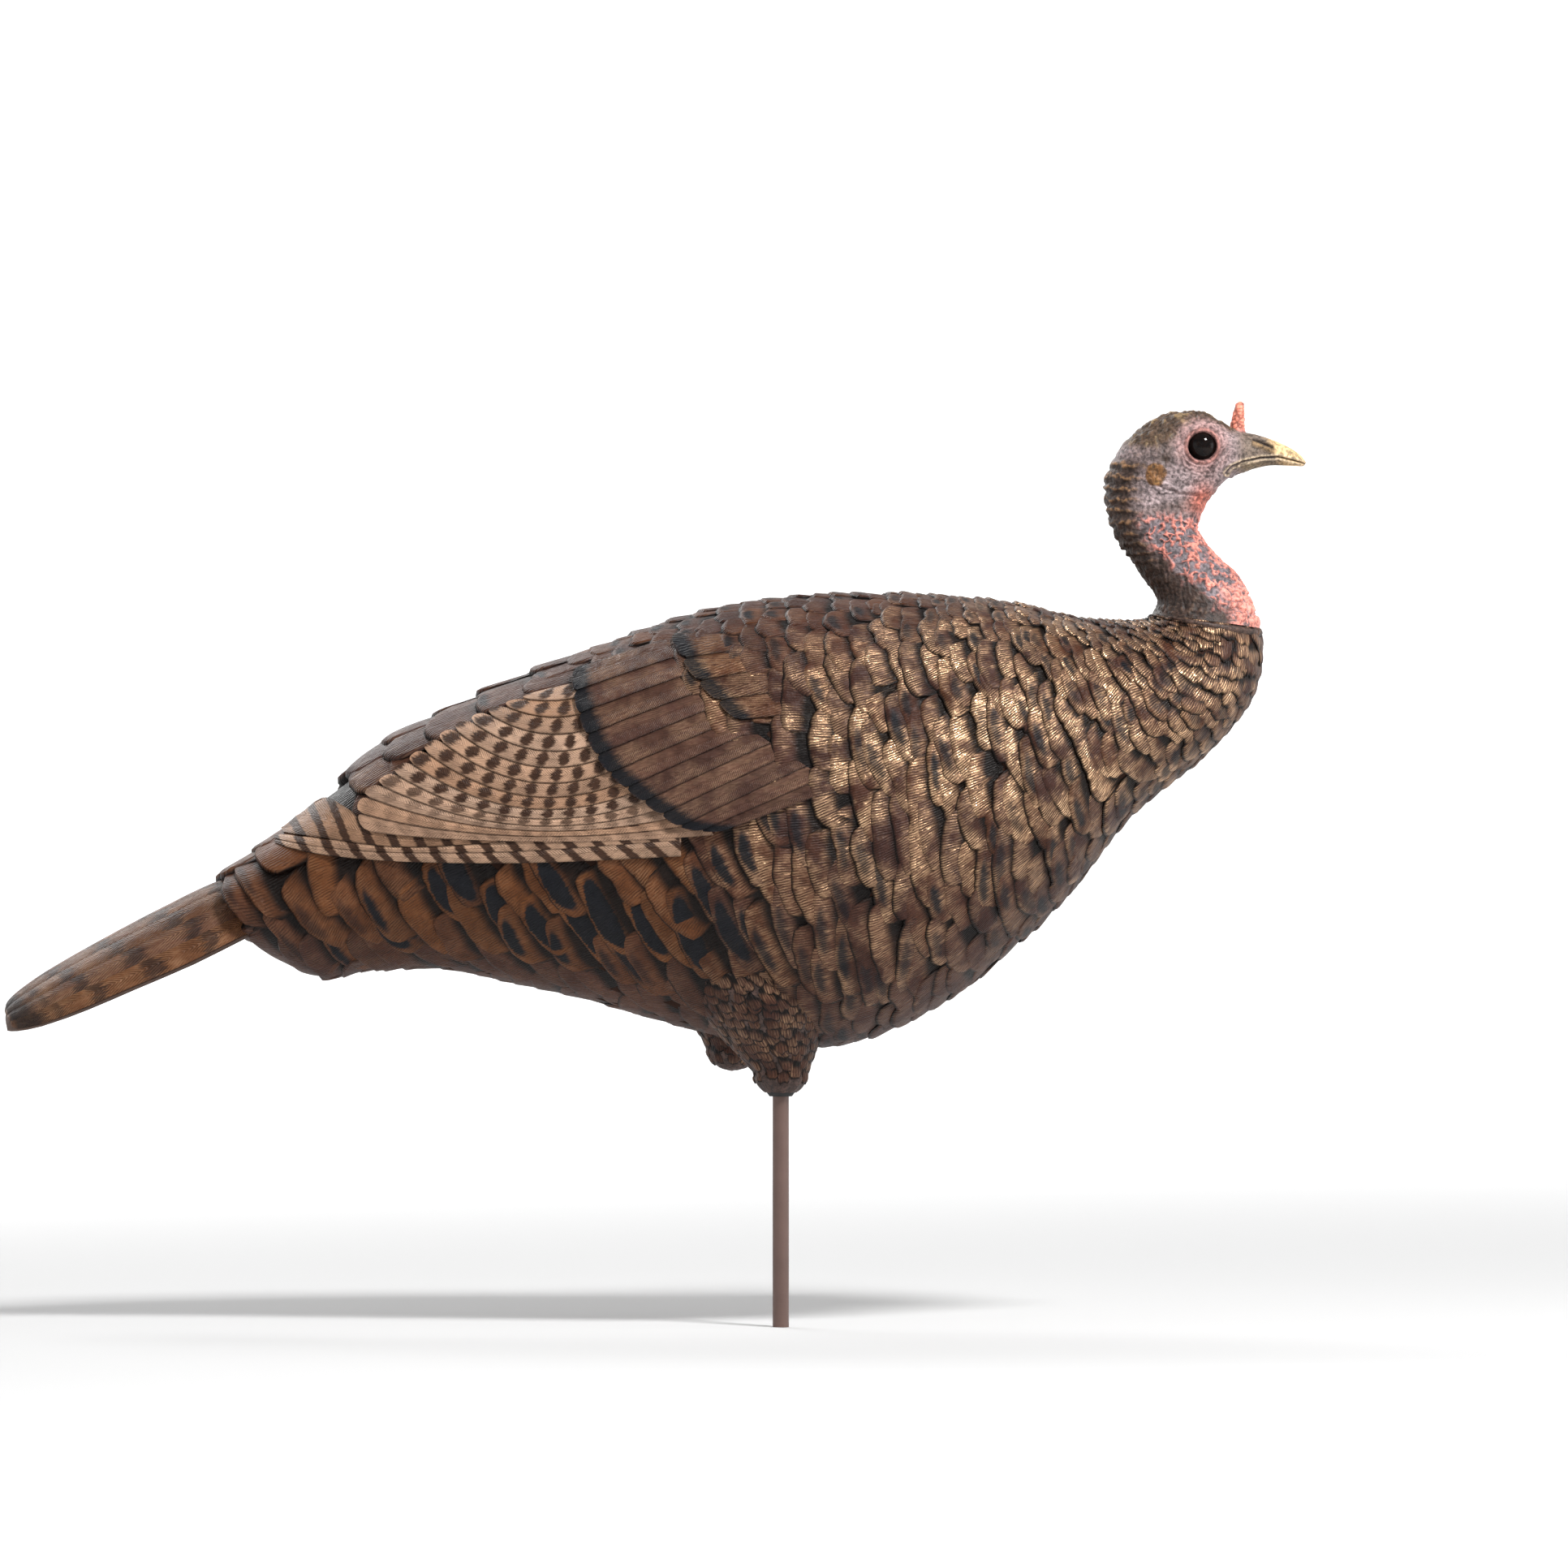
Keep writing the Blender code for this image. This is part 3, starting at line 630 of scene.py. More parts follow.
def fan(root, tip, count, sag=0.0, rows=24):
    """The edges of feathers that spread from one curve to another. sag bends the later ones down."""
    q = np.linspace(0, 1, count + 1)
    start, end = along(root, q), along(tip, q)
    s = np.linspace(0, 1, rows)[None, :, None]
    middle = (start + end) / 2 - np.stack([0 * q, sag * np.sin(math.pi * q**1.1 * 0.94)], -1)
    curve = (1 - s) ** 2 * start[:, None] + 2 * s * (1 - s) * middle[:, None] + s**2 * end[:, None]
    return curve[:-1], curve[1:]


def mirrored(points):
    turned = points.copy()
    turned[..., 1] = 2 * MID_Y - turned[..., 1]
    return turned


def wing_layers(flank):
    """The plates of each layer of a folded wing, by name. Curves are x and z in the side view."""
    covert_root = ((-61, 402), (-57, 391), (-45, 373), (-28, 355), (-18, 348), (22, 322), (36, 315))
    covert_tip = (
        (-119, 378), (-117, 358), (-107, 334), (-99, 322), (-78, 305), (-66, 297), (-54, 290), (-34, 289),
    )
    second_root = ((-104, 377), (-84, 350), (-60, 312), (-42, 293), (-38, 287))
    second_tip = ((-140, 366), (-186, 347), (-219, 324), (-243, 304), (-240, 288))
    row_root, row_tip = ((-32, 404), (-12, 384), (6, 356)), ((-64, 401), (-52, 378), (-26, 352))
    primary_edges = (  # the upper and the lower edge of each primary in turn
        ((-60, 296), (-150, 290), (-200, 286), (-232, 291), (-262, 306), (-277, 300)),
        ((-60, 292), (-150, 284), (-215, 280), (-262, 283), (-292, 285)),
        ((-58, 293), (-150, 284), (-215, 280), (-262, 283), (-290, 284)),
        ((-58, 284), (-150, 278), (-215, 277), (-262, 278), (-294, 281)),
        ((-57, 288), (-150, 279), (-215, 277.5), (-262, 279), (-292, 281)),
        ((-57, 275), (-140, 271.5), (-207, 271.5), (-262, 274), (-292, 278)),
    )
    share = np.linspace(0, 1, 24)
    edges = np.stack([along(edge, share) for edge in primary_edges])
    return {
        "secondaries": strips(flank, *fan(second_root, second_tip, 13, sag=44), 2.0, 5.4, 0.45, 0.9, 4.5),
        "primaries": strips(flank, edges[::2], edges[1::2], 2.2, 4.6, 0.5, 0.8, 5.0, rows=48),
        "coverts": strips(flank, *fan(covert_root, covert_tip, 11), 0.2, 6.2, 0.35, 0.6, 2.6),
        "row": strips(flank, *fan(row_root, row_tip, 4), 0.6, 3.4, 0.5, 0.4, 4.0),
    }


WING_METAL = {"coverts": 0.45, "row": 0.75, "secondaries": 0.22, "primaries": 0.25}


def wings(skin, materials):
    layers = wing_layers(Flank(skin))
    for side in ("right", "left"):
        for layer, plates in layers.items():
            count = len(plates[0])
            seed = (np.arange(count) * 0.5 + RNG.uniform(0, 0.12, count)) % 1
            dark = np.ones(count)
            if layer == "secondaries":
                dark -= 0.75 * ease(8, 11, np.arange(count))
            metal = WING_METAL[layer] * RNG.uniform(0.6, 1.3, count)
            paint = np.stack([dark, metal, RNG.uniform(0, 0.7, count)], -1)
            if side == "left":
                plates = [values[:, :, ::-1] for values in (mirrored(plates[0]), *plates[1:])]
            name = f"wing_{layer}_{side}"
            piece = plate_mesh(name, plates, seed, paint, materials[layer], "body")
            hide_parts(f"wing_{side}")


# ---- tail

TAIL_SECTIONS = (
    (-297, 254, -289, 239, 21), (-312, 257, -300, 233, 25), (-328, 257, -316, 226, 32),
    (-362, 241, -345, 211.5, 38), (-396, 223, -380, 196.5, 42), (-425, 206.5, -408, 184.5, 43),
    (-442, 195, -430, 176.5, 37), (-451, 187, -445, 173.5, 28), (-453.5, 181, -451.5, 173.5, 18),
)


def tail(material):
    """Long feathers that lie on the tail's arch, the middle one on top."""
    count, columns, rows, length = 9, 9, 60, 172.0
    edges = np.linspace(-1, 1, count + 1)[:, None, None] * 0.97
    a = np.concatenate([[0], np.linspace(0, 1, columns), [1]])[None, None]
    b = np.concatenate([np.linspace(0, 1, rows), [1]])[None, :, None]
    side = 2 * a - 1
    rim = rim_of(rows + 1, columns + 2)[None]
    off_middle = np.abs(np.arange(count) - count // 2)[:, None, None]
    reach = 1 - 0.022 * off_middle
    share = reach * (0.08 + 0.92 * b) * (1 - 0.05 * rounded(side, 2.3))
    arc = edges[:-1] + (a * 1.16 - 0.08) * (edges[1:] - edges[:-1])
    arc = np.broadcast_to(np.clip(arc, -1, 1), share.shape) * math.pi / 2
    row = spline(np.array(TAIL_SECTIONS) * MM, share * (len(TAIL_SECTIONS) - 1))
    down = row[..., 2:4] - row[..., :2]
    line = row[..., :2] + (1 - np.cos(arc))[..., None] * down
    points = np.stack([line[..., 0], MID_Y + row[..., 4] * np.sin(arc), line[..., 1]], -1)
    down = down / np.linalg.norm(down, axis=-1, keepdims=True)
    normal = np.stack([-down[..., 0] * np.cos(arc), np.sin(arc), -down[..., 1] * np.cos(arc)], -1)
    height = 2.4 - 0.30 * off_middle + 0.5 * (1 - side**2) * np.ones_like(share)
    height = height * ease(-0.02, 0.2, share) - 2.4 * rim
    points = points + normal * (height * MM)[..., None]
    shade = np.maximum(rim * 0.8, 1 - ease(0.02, 0.16, share))
    side = np.broadcast_to(side, share.shape)
    plates = (points, side * 7.0, (reach - share) * length, side, share, shade)
    metal, warm = RNG.uniform(0.25, 0.5, count), RNG.uniform(0.2, 0.8, count)
    paint = np.stack([np.full(count, 0.85), metal, warm], -1)
    plate_mesh("tail_feathers", plates, RNG.uniform(0, 1, count), paint, material, "tail")


# ---- head

EYE = np.array((246, 513.5))
NOSTRIL = ((276.5, 518.0), (282.0, 515.8), (287.5, 513.4))
FOLD = ((260.5, 511.5), (258.0, 507.5), (254.8, 504.0), (252.7, 499.5))  # the pale crease before the eye
GAPE = ((260, 498.2), (263, 501.5), (270, 504.6), (281, 507.0), (291, 507.6), (300, 505.6), (307, 503.6))
JAW = ((221, 490), (232, 485.5), (246, 485), (256, 490), (262, 495))
BROW = ((234, 524), (244, 527.5), (256, 523))
EAR_HOLE = np.array((224.5, 505))


def noise_at(points, scale, kind="noise"):
    """Smooth noise at each point; scale is the size of its features in millimetres."""
    places = points.reshape(-1, 3) / (scale * MM)
    if kind == "cells":
        found = [noise.voronoi(Vector(p))[0] for p in places]
        values = np.array([d[1] - d[0] for d in found])
    else:
        values = np.array([noise.noise(Vector(p)) for p in places])
    return values.reshape(points.shape[:-1])


def near_line(x, z, line):
    """The distance from each point to a broken line, in millimetres."""
    best = np.full(x.shape, 1e9)
    for (x0, z0), (x1, z1) in zip(line, line[1:], strict=False):
        t = np.clip(((x - x0) * (x1 - x0) + (z - z0) * (z1 - z0)) / ((x1 - x0) ** 2 + (z1 - z0) ** 2), 0, 1)
        best = np.minimum(best, np.hypot(x - x0 - t * (x1 - x0), z - z0 - t * (z1 - z0)))
    return best


def head_relief(points, u, v):
    """How far out the skin stands in millimetres, and its colour, with painted shade and painted highlight
    on the relief.
    """
    x, z = points[..., 0] / MM, points[..., 2] / MM
    out = np.abs(points[..., 1] - MID_Y) / MM
    low = np.abs(v)
    eye = np.hypot(x - EYE[0], z - EYE[1])
    eye = np.where(out > 8, eye, 60)
    beak = ease(262, 274, x) * ease(496, 500, z)
    face = ease(481, 487, z - 0.25 * (x - 240)) * (1 - beak)
    nape = ease(0.45, 0.22, low) * ease(512, 500, z) * ease(440, 452, z)
    ragged = 9 * noise_at(points, 9) + 4 * noise_at(points, 3.5)
    hairy = ease(5, -4, z - 452 + 0.76 * (x - 213) + ragged)
    crown = ease(0.42, 0.16, low) * ease(508, 520, z) * (1 - beak) * ease(270, 262, x)
    throat = ease(0.30, 0.50, low) * ease(478, 466, z) * (1 - hairy)
    mass = ease(0.60, 0.70, low) * ease(434, 428, z)
    hairy = hairy * (1 - mass)
    pebble = noise_at(points, 1.5) + 0.8 * noise_at(points, 3.2)
    coarse = noise_at(points, 5.5)
    warp = np.stack([coarse, noise_at(points + 0.05, 6), noise_at(points - 0.05, 6)], -1)
    cells = noise_at(points * np.array((1, 1, 0.8)) + 0.0035 * warp, 5.2, "cells")
    lumps = noise_at(points + 0.003 * warp, 7.5, "cells")
    rings = np.sin((u / MM) * math.tau / 6.6 + 2.6 * coarse)
    combed = points * (3.0, 3.0, 0.5)
    combed[..., 0] += combed[..., 2]
    hair = noise_at(combed, 4.5)

    relief = 0.42 * pebble * face * ease(10.5, 15, eye) + 0.3 * pebble * (1 - face) * (1 - beak)
    relief += 0.3 * np.sin(eye * 2.3 + 3 * coarse) * bell(eye - 14, 3.5)
    plain = (1 - face) * (1 - throat) * (1 - hairy) * (1 - beak)
    relief += (0.65 * rings + 0.6 * coarse) * np.maximum(nape, 0.35 * plain)
    relief += 1.2 * coarse * crown + 0.8 * hair * crown
    relief += 0.9 * hair * hairy
    broken = ease(-0.30, 0.0, noise_at(points - 0.02, 4.5))
    ridge = ease(0.26 + 0.22 * coarse, 0.06, cells) * broken * throat * (1 - mass)
    relief += 1.5 * ridge + 1.9 * ease(0.03, 0.30, lumps) * mass
    jaw = near_line(x, z, JAW)
    relief += 0.8 * bell(jaw - 1.8, 2.2) * (z > 486) - 0.9 * bell(jaw, 1.3)
    relief += 1.0 * bell(eye - 9.6, 1.1) + 0.45 * bell(eye - 12.4, 0.9) - 0.5 * bell(eye - 11.1, 0.5)
    relief -= 5.0 * ease(8.8, 7.7, eye)
    relief += 0.9 * bell(near_line(x, z, BROW), 3.0)
    ear = np.hypot(x - 219, (z - 497) / 1.1) + 1.8 * coarse + 0.8 * hair
    relief += 0.8 * bell(ear - 3.4, 2.2) + 0.5 * hair * (ear < 6)
    relief -= 1.1 * bell(np.hypot(x - EAR_HOLE[0], z - EAR_HOLE[1]), 2.0)
    gape = near_line(x, z, GAPE)
    relief += -0.9 * bell(gape, 0.55) + 0.35 * bell(gape - 1.3, 0.6)
    fold = near_line(x, z, FOLD)
    before_fold = near_line(x + 1.8, z, FOLD)
    relief += 0.9 * bell(fold, 1.1) - 0.7 * bell(before_fold, 0.8)
    nostril = near_line(x, z, NOSTRIL)
    cheek = near_line(x, z + 2.3, NOSTRIL)
    relief += 0.9 * bell(cheek, 1.6) - 1.5 * bell(nostril, 0.8)
    relief += 0.5 * bell(near_line(x, z - 2.0, NOSTRIL), 1.2)
    dewlap = bell(np.hypot(x - 247, (z - 481) / 1.3), 7.5)
    relief += 0.6 * dewlap * (0.6 + coarse)
    relief += 0.18 * pebble * beak * ease(288, 280, x)

    colour = np.zeros((*x.shape, 3)) + (0.36, 0.275, 0.275)

    def dab(share, rgb):
        colour[:] = colour + np.clip(share, 0, 1)[..., None] * (np.array(rgb) - colour)

    dab(0.75 * (1 - face) * (1 - throat), (0.13, 0.085, 0.072))
    dab(nape * 1.2, (0.062, 0.036, 0.027))
    # Lighter on the raised rings of the nape: painted highlight.
    dab(nape * ease(0.55, 1.0, rings + 0.5 * pebble) * 0.7, (0.36, 0.19, 0.085))
    behind = bell(np.hypot(x - 222, z - 520), 13)
    dab(crown * 1.1 + 0.8 * behind, (0.10, 0.060, 0.037))
    # Lighter on the crown's raised ridges: painted highlight.
    dab((crown + 0.5 * behind) * ease(0.15, 0.6, coarse + 0.5 * hair) * 0.6, (0.34, 0.23, 0.11))
    dab(bell(eye - 12, 4.5) * 0.8, (0.46, 0.27, 0.255))
    dab(bell(eye - 9.4, 1.3) * 0.85, (0.42, 0.17, 0.14))
    dab(bell(np.hypot(x - 224.5, z - 506), 4.2) * 0.95, (0.055, 0.032, 0.020))
    dab(ease(6.4, 5.2, ear) * 0.95, (0.20, 0.085, 0.022))
    # Lighter on the ear patch's raised hairs: painted highlight.
    dab(ease(6.4, 5.2, ear) * ease(0.0, 0.5, hair) * 0.5, (0.42, 0.22, 0.07))
    dab(dewlap * 1.2 * ease(0.58, 0.72, low), (0.56, 0.17, 0.12))
    dab(hairy, (0.048, 0.027, 0.020))
    # Lighter on the neck's raised hairs: painted highlight.
    dab(hairy * ease(0.1, 0.6, hair) * 0.4, (0.17, 0.105, 0.07))
    dab(throat * (1 - mass) * 0.8, (0.135, 0.115, 0.13))
    dab(ridge * 1.2, (0.80, 0.27, 0.205))
    dab(mass * ease(0.02, 0.14, lumps) * 1.1, (0.84, 0.30, 0.235))
    # Darker in the crevices between the coral lumps: painted shade.
    dab(mass * ease(0.08, 0.0, lumps) * 0.8, (0.12, 0.07, 0.07))
    dab(beak * 0.95, (0.17, 0.125, 0.095))
    dab(beak * ease(286, 294, x + 0.5 * (z - 508)), (0.74, 0.50, 0.25))
    dab(beak * ease(506, 503, z) * ease(300, 286, x) * 0.7, (0.20, 0.14, 0.07))
    dab(bell(gape - 1.25, 0.6) * 0.85, (0.60, 0.46, 0.31))
    dab(bell(gape, 0.55) * 0.95, (0.03, 0.018, 0.015))
    dab(bell(fold, 0.8) * 0.7, (0.46, 0.34, 0.33))
    dab(bell(before_fold, 0.7) * 0.7, (0.05, 0.03, 0.03))
    dab(bell(cheek, 1.5) * 0.75, (0.30, 0.18, 0.07))
    dab(bell(nostril, 0.9), (0.02, 0.012, 0.01))
    dab(ease(8.9, 8.2, eye), (0.03, 0.015, 0.015))
    # Painted shade in the hollows of the skin's relief, less on the beak and on the coral.
    recess_shade = np.clip(0.12 - (0.55 * pebble + 0.3 * coarse) * 1.1, 0, 0.55)
    recess_shade *= (1 - 0.6 * beak) * (1 - 0.6 * np.maximum(ridge, mass))
    colour *= (1 - recess_shade)[..., None]
    return relief, colour


def skin_material(name, grain=520, grain_mm=0.7):
    """Painted skin: the colour is on the mesh, and fine pebbles, mottling and painted shade and highlight
    on the pebbles are added here.
    """
    tree = Tree(name)
    place = tree.place()
    pebble = tree.noise(place, grain, 4)
    mottle = tree.noise(place, 90, 5)
    pores = tree.node("ShaderNodeTexVoronoi", place)
    pores.inputs["Scale"].default_value = grain * 2.2
    colour = tree.times(tree.attribute("paint", "Color"), 0.42 + 1.1 * mottle)
    # Darker in the hollows between the fine pebbles and lighter on their tops: painted shade and painted
    # highlight.
    colour = tree.times(colour, tree.step(pebble, 0.34, 0.60, 0.45, 1.22))
    height = grain_mm * pebble + 0.12 * Value(tree, pores.outputs["Distance"])
    return tree.finish(colour, 0.38 + 0.25 * mottle, 0.0, height, specular=0.35)


def head(material):
    skin = Skin(HEAD_SECTIONS, 2.05, 0.5, rows=400, columns=121)
    u = np.linspace(skin.start, skin.end, skin.rows)[:, None] * np.ones((1, skin.columns))
    v = np.linspace(-1, 1, skin.columns)[None] * np.ones((skin.rows, 1))
    relief, colour = head_relief(skin.points, u, v)
    calm = ease(0.0, 0.004, u) * ease(skin.end, skin.end - 0.004, u)
    outside = skin.points + skin.normals * (relief * MM * calm)[..., None]
    lip = skin.points[:1] - skin.normals[:1] * 0.003
    inner = skin.points[16:17] - skin.normals[16:17] * 0.004
    points = np.concatenate([inner, lip, outside])[:, :-1]
    # The lip and the inside of the opening are much darker: painted shade in the hollow.
    colour = np.concatenate([colour[:1] * 0.2, colour[:1] * 0.3, colour])[:, :-1]
    piece = painted_tube("head_skin_relief", points, colour, material, "head")
    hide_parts("head_shell")


def snood(material):
    """The bumpy soft finger over the beak."""
    rows, columns = 70, 48
    rise = np.linspace(0, 1, rows)
    line = along(((266.5, 521.5), (267.2, 526.5), (268.0, 533), (268.9, 540.4)), rise)
    radius = np.interp(rise, (0, 0.2, 0.4, 0.75, 0.93, 1), (5.2, 4.3, 3.7, 2.9, 2.2, 0.3))[:, None]
    angle = np.linspace(0, math.tau, columns, endpoint=False)
    points = np.zeros((rows, columns, 3))
    points[..., 0] = line[:, :1] + radius * np.cos(angle)
    points[..., 1] = MID_Y / MM + 0.9 * radius * np.sin(angle)
    points[..., 2] = line[:, 1:2]
    points *= MM
    bumps = 0.55 * ease(0.02, 0.35, noise_at(points, 3.0, "cells")) + 0.25 * noise_at(points, 1.6)
    spread = np.stack([np.cos(angle), np.sin(angle), 0 * angle], -1)[None]
    points += spread * (bumps * MM)[..., None] * np.linspace(1, 0.4, rows)[:, None, None]
    # Darker between the bumps and lighter on them: painted shade and painted highlight.
    colour = np.array((0.80, 0.25, 0.17)) * (0.55 + 0.6 * ease(0, 0.5, bumps))[..., None]
    foot = 0.7 * ease(0.22, 0.0, rise)[:, None, None]
    colour = colour * (1 - foot) + np.array((0.25, 0.165, 0.17)) * foot
    piece = painted_tube("snood_relief", points, colour, material, "head")
    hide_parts("snood")


def eyes(material):
    """Smooth glossy domes in the eye sockets."""
    rows, columns, ball, front, back = 18, 48, 10.4, 22.9, 17.5
    tilt = np.linspace(0.02, math.asin(8.7 / ball), rows)[:, None]
    angle = np.linspace(0, math.tau, columns, endpoint=False)[None]
    out = front - ball * (1 - np.cos(tilt)) + 0 * angle
    for side, label in ((-1, "right"), (1, "left")):
        x = EYE[0] + ball * np.sin(tilt) * np.cos(angle)
        z = EYE[1] - side * ball * np.sin(tilt) * np.sin(angle)
        points = np.stack([x, MID_Y / MM + side * out, z], -1)
        inner = points[-1:] * (1, 0, 1) + (0, MID_Y / MM + side * back, 0)
        points = np.concatenate([points, inner]) * MM
        quads = grid_faces(*points.shape[:2], wrap=True)
        piece = make_mesh(f"eye_dome_{label}", points, quads, {}, material, "head")
        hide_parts(f"eye_{label}")


def collar(skin, material):
    """The thick hair-like fold of the body's skin round the foot of the neck."""
    behind = np.array((5, 4.4, 3.6, 2.8, 2.0, 1.3, 0.7, 0.35, 0.35))
    above = np.array((-0.5, 1.0, 2.0, 2.5, 2.5, 2.1, 1.5, 0.6, -1.5))
    v = np.linspace(-1, 1, 361)[:-1]
    low = np.abs(v)
    narrow = 1 - 0.55 * ease(0.3, 1, low)
    points, normals = skin.at(skin.end - behind[:, None] * narrow * MM, v[None] + 0 * behind[:, None])
    wave = noise_at(points * (0.6, 1, 1), 6)
    proud = 0.35 + 0.65 * ease(0.0, 0.4, low) - 0.5 * ease(0.45, 0.9, low)
    stand = (1 + 0.35 * wave) * proud
    points = points + normals * (above[:, None] * stand * MM)[..., None]
    streaks = noise_at(points, 2.0)
    points = points + normals * (0.35 * streaks * MM)[..., None]
    # Darker between the raised streaks and lighter on them: painted shade and painted highlight.
    colour = np.array((0.062, 0.034, 0.025)) * (0.8 + 0.8 * ease(-0.2, 0.6, streaks))[..., None]
    painted_tube("neck_collar", points, colour, material, "body")


# ---- thighs, stage and camera

RIGHT_THIGH = ((-20, -12, 207, 38), (-12, -8, 187, 36), (-5, -1, 166, 26), (0, 0, 150, 16))
LEFT_THIGH = ((-34, 73, 210, 38), (-32, 68, 196, 34), (-29, 61, 179, 25), (-28, 60, 164, 16))


class Limb:
    """A thigh's outside, as a Skin: u runs up from the knob, and v goes round it."""

    def __init__(self, sections, least_radius):
        knob = sections[-1]
        bend = np.radians((20, 40, 60, 75, 86))
        dome = [(knob[0], knob[1], knob[2] - knob[3] * math.sin(t), knob[3] * math.cos(t)) for t in bend]
        table = np.array([*sections, *dome], float)[::-1] * MM
        line = spline(table, np.linspace(0, len(table) - 1, 200))
        line[:, 3] += 0.4 * MM
        line = line[line[:, 3] >= least_radius * MM]
        run = np.hypot(np.linalg.norm(np.diff(line[:, :3], axis=0), axis=1), np.diff(line[:, 3]))
        self.run = np.concatenate([[0], np.cumsum(run)])
        self.line, self.start, self.end = line, 0.0, float(self.run[-1])

    def row(self, u):
        return np.stack([np.interp(u, self.run, self.line[:, k]) for k in range(4)], -1)

    def half_girth(self, u):
        return math.pi * self.row(u)[..., 3]

    def at(self, u, v):
        u, v = np.broadcast_arrays(u, v)
        row, above = self.row(u), self.row(u + 0.002)
        spread = np.stack([np.cos(math.pi * v), np.sin(math.pi * v), 0 * v], -1)
        rise = above - row
        normal = spread * rise[..., 2:3] - np.array((0, 0, 1)) * rise[..., 3:4]
        normal = normal / np.maximum(np.linalg.norm(normal, axis=-1, keepdims=True), 1e-9)
        return row[..., :3] + spread * row[..., 3:4], normal


def thigh(name, sections, least_radius, skin_paint, feathers):
    """A thigh covered in small hair-like feathers, down to its round knob."""
    limb = Limb(sections, least_radius)
    u, v = np.meshgrid(np.linspace(0, limb.end, 90), np.linspace(-1, 1, 121)[:-1], indexing="ij")
    points, normals = limb.at(u, v)
    streaks = noise_at(points * (1, 1, 0.22), 2.6)
    points = points + normals * (0.4 * streaks * MM)[..., None]
    # Darker between the raised streaks and lighter on them: painted shade and painted highlight.
    colour = np.array((0.050, 0.027, 0.021)) * (0.75 + 0.7 * ease(-0.5, 0.6, streaks))[..., None]
    painted_tube(name, points, colour, skin_paint, "body")

    rows = []
    for k, tip in enumerate(np.arange(0.010, limb.end - 0.004, 0.0058)):
        around = round(2 * float(limb.half_girth(tip)) / MM / 8.5)
        place = np.arange(around) + 0.5 * (k % 2) + RNG.normal(0, 0.15, around)
        rows.append(np.stack([tip + RNG.normal(0, 0.0011, around), (2 * place / around) % 2 - 1], -1))
    tip_u, v = np.concatenate(rows).T
    count = len(tip_u)
    size = RNG.uniform(0.85, 1.2, (2, count))
    lift = RNG.uniform(0.8, 1.3, count)
    turn = RNG.normal(0, 0.12, count)
    plates = feather_plates(limb, tip_u, v, 17 * size[0], 9 * size[1], turn, lift, 6.0, 0.3, 0.6, 9)
    metal, warm = RNG.uniform(0.1, 0.3, count), RNG.uniform(0, 0.2, count)
    paint = np.stack([np.zeros(count), metal, warm], -1)
    seed = RNG.uniform(0, 1, count)
    plate_mesh(f"{name}_feathers", plates, seed, paint, feathers, "body")


def assign(material, *nodes):
    for name in nodes:
        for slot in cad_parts[name].material_slots:
            slot.material = material


def eye_material():
    """Black glass over a dark brown iris."""
    tree = Tree("glossy_eye")
    iris = tree.noise(tree.place(), 300, 3)
    colour = tree.mix(tree.step(iris, 0.35, 0.7), (0.004, 0.003, 0.003, 1), (0.008, 0.004, 0.003, 1))
    return tree.finish(colour, 0.05, 0.0, specular=0.15)


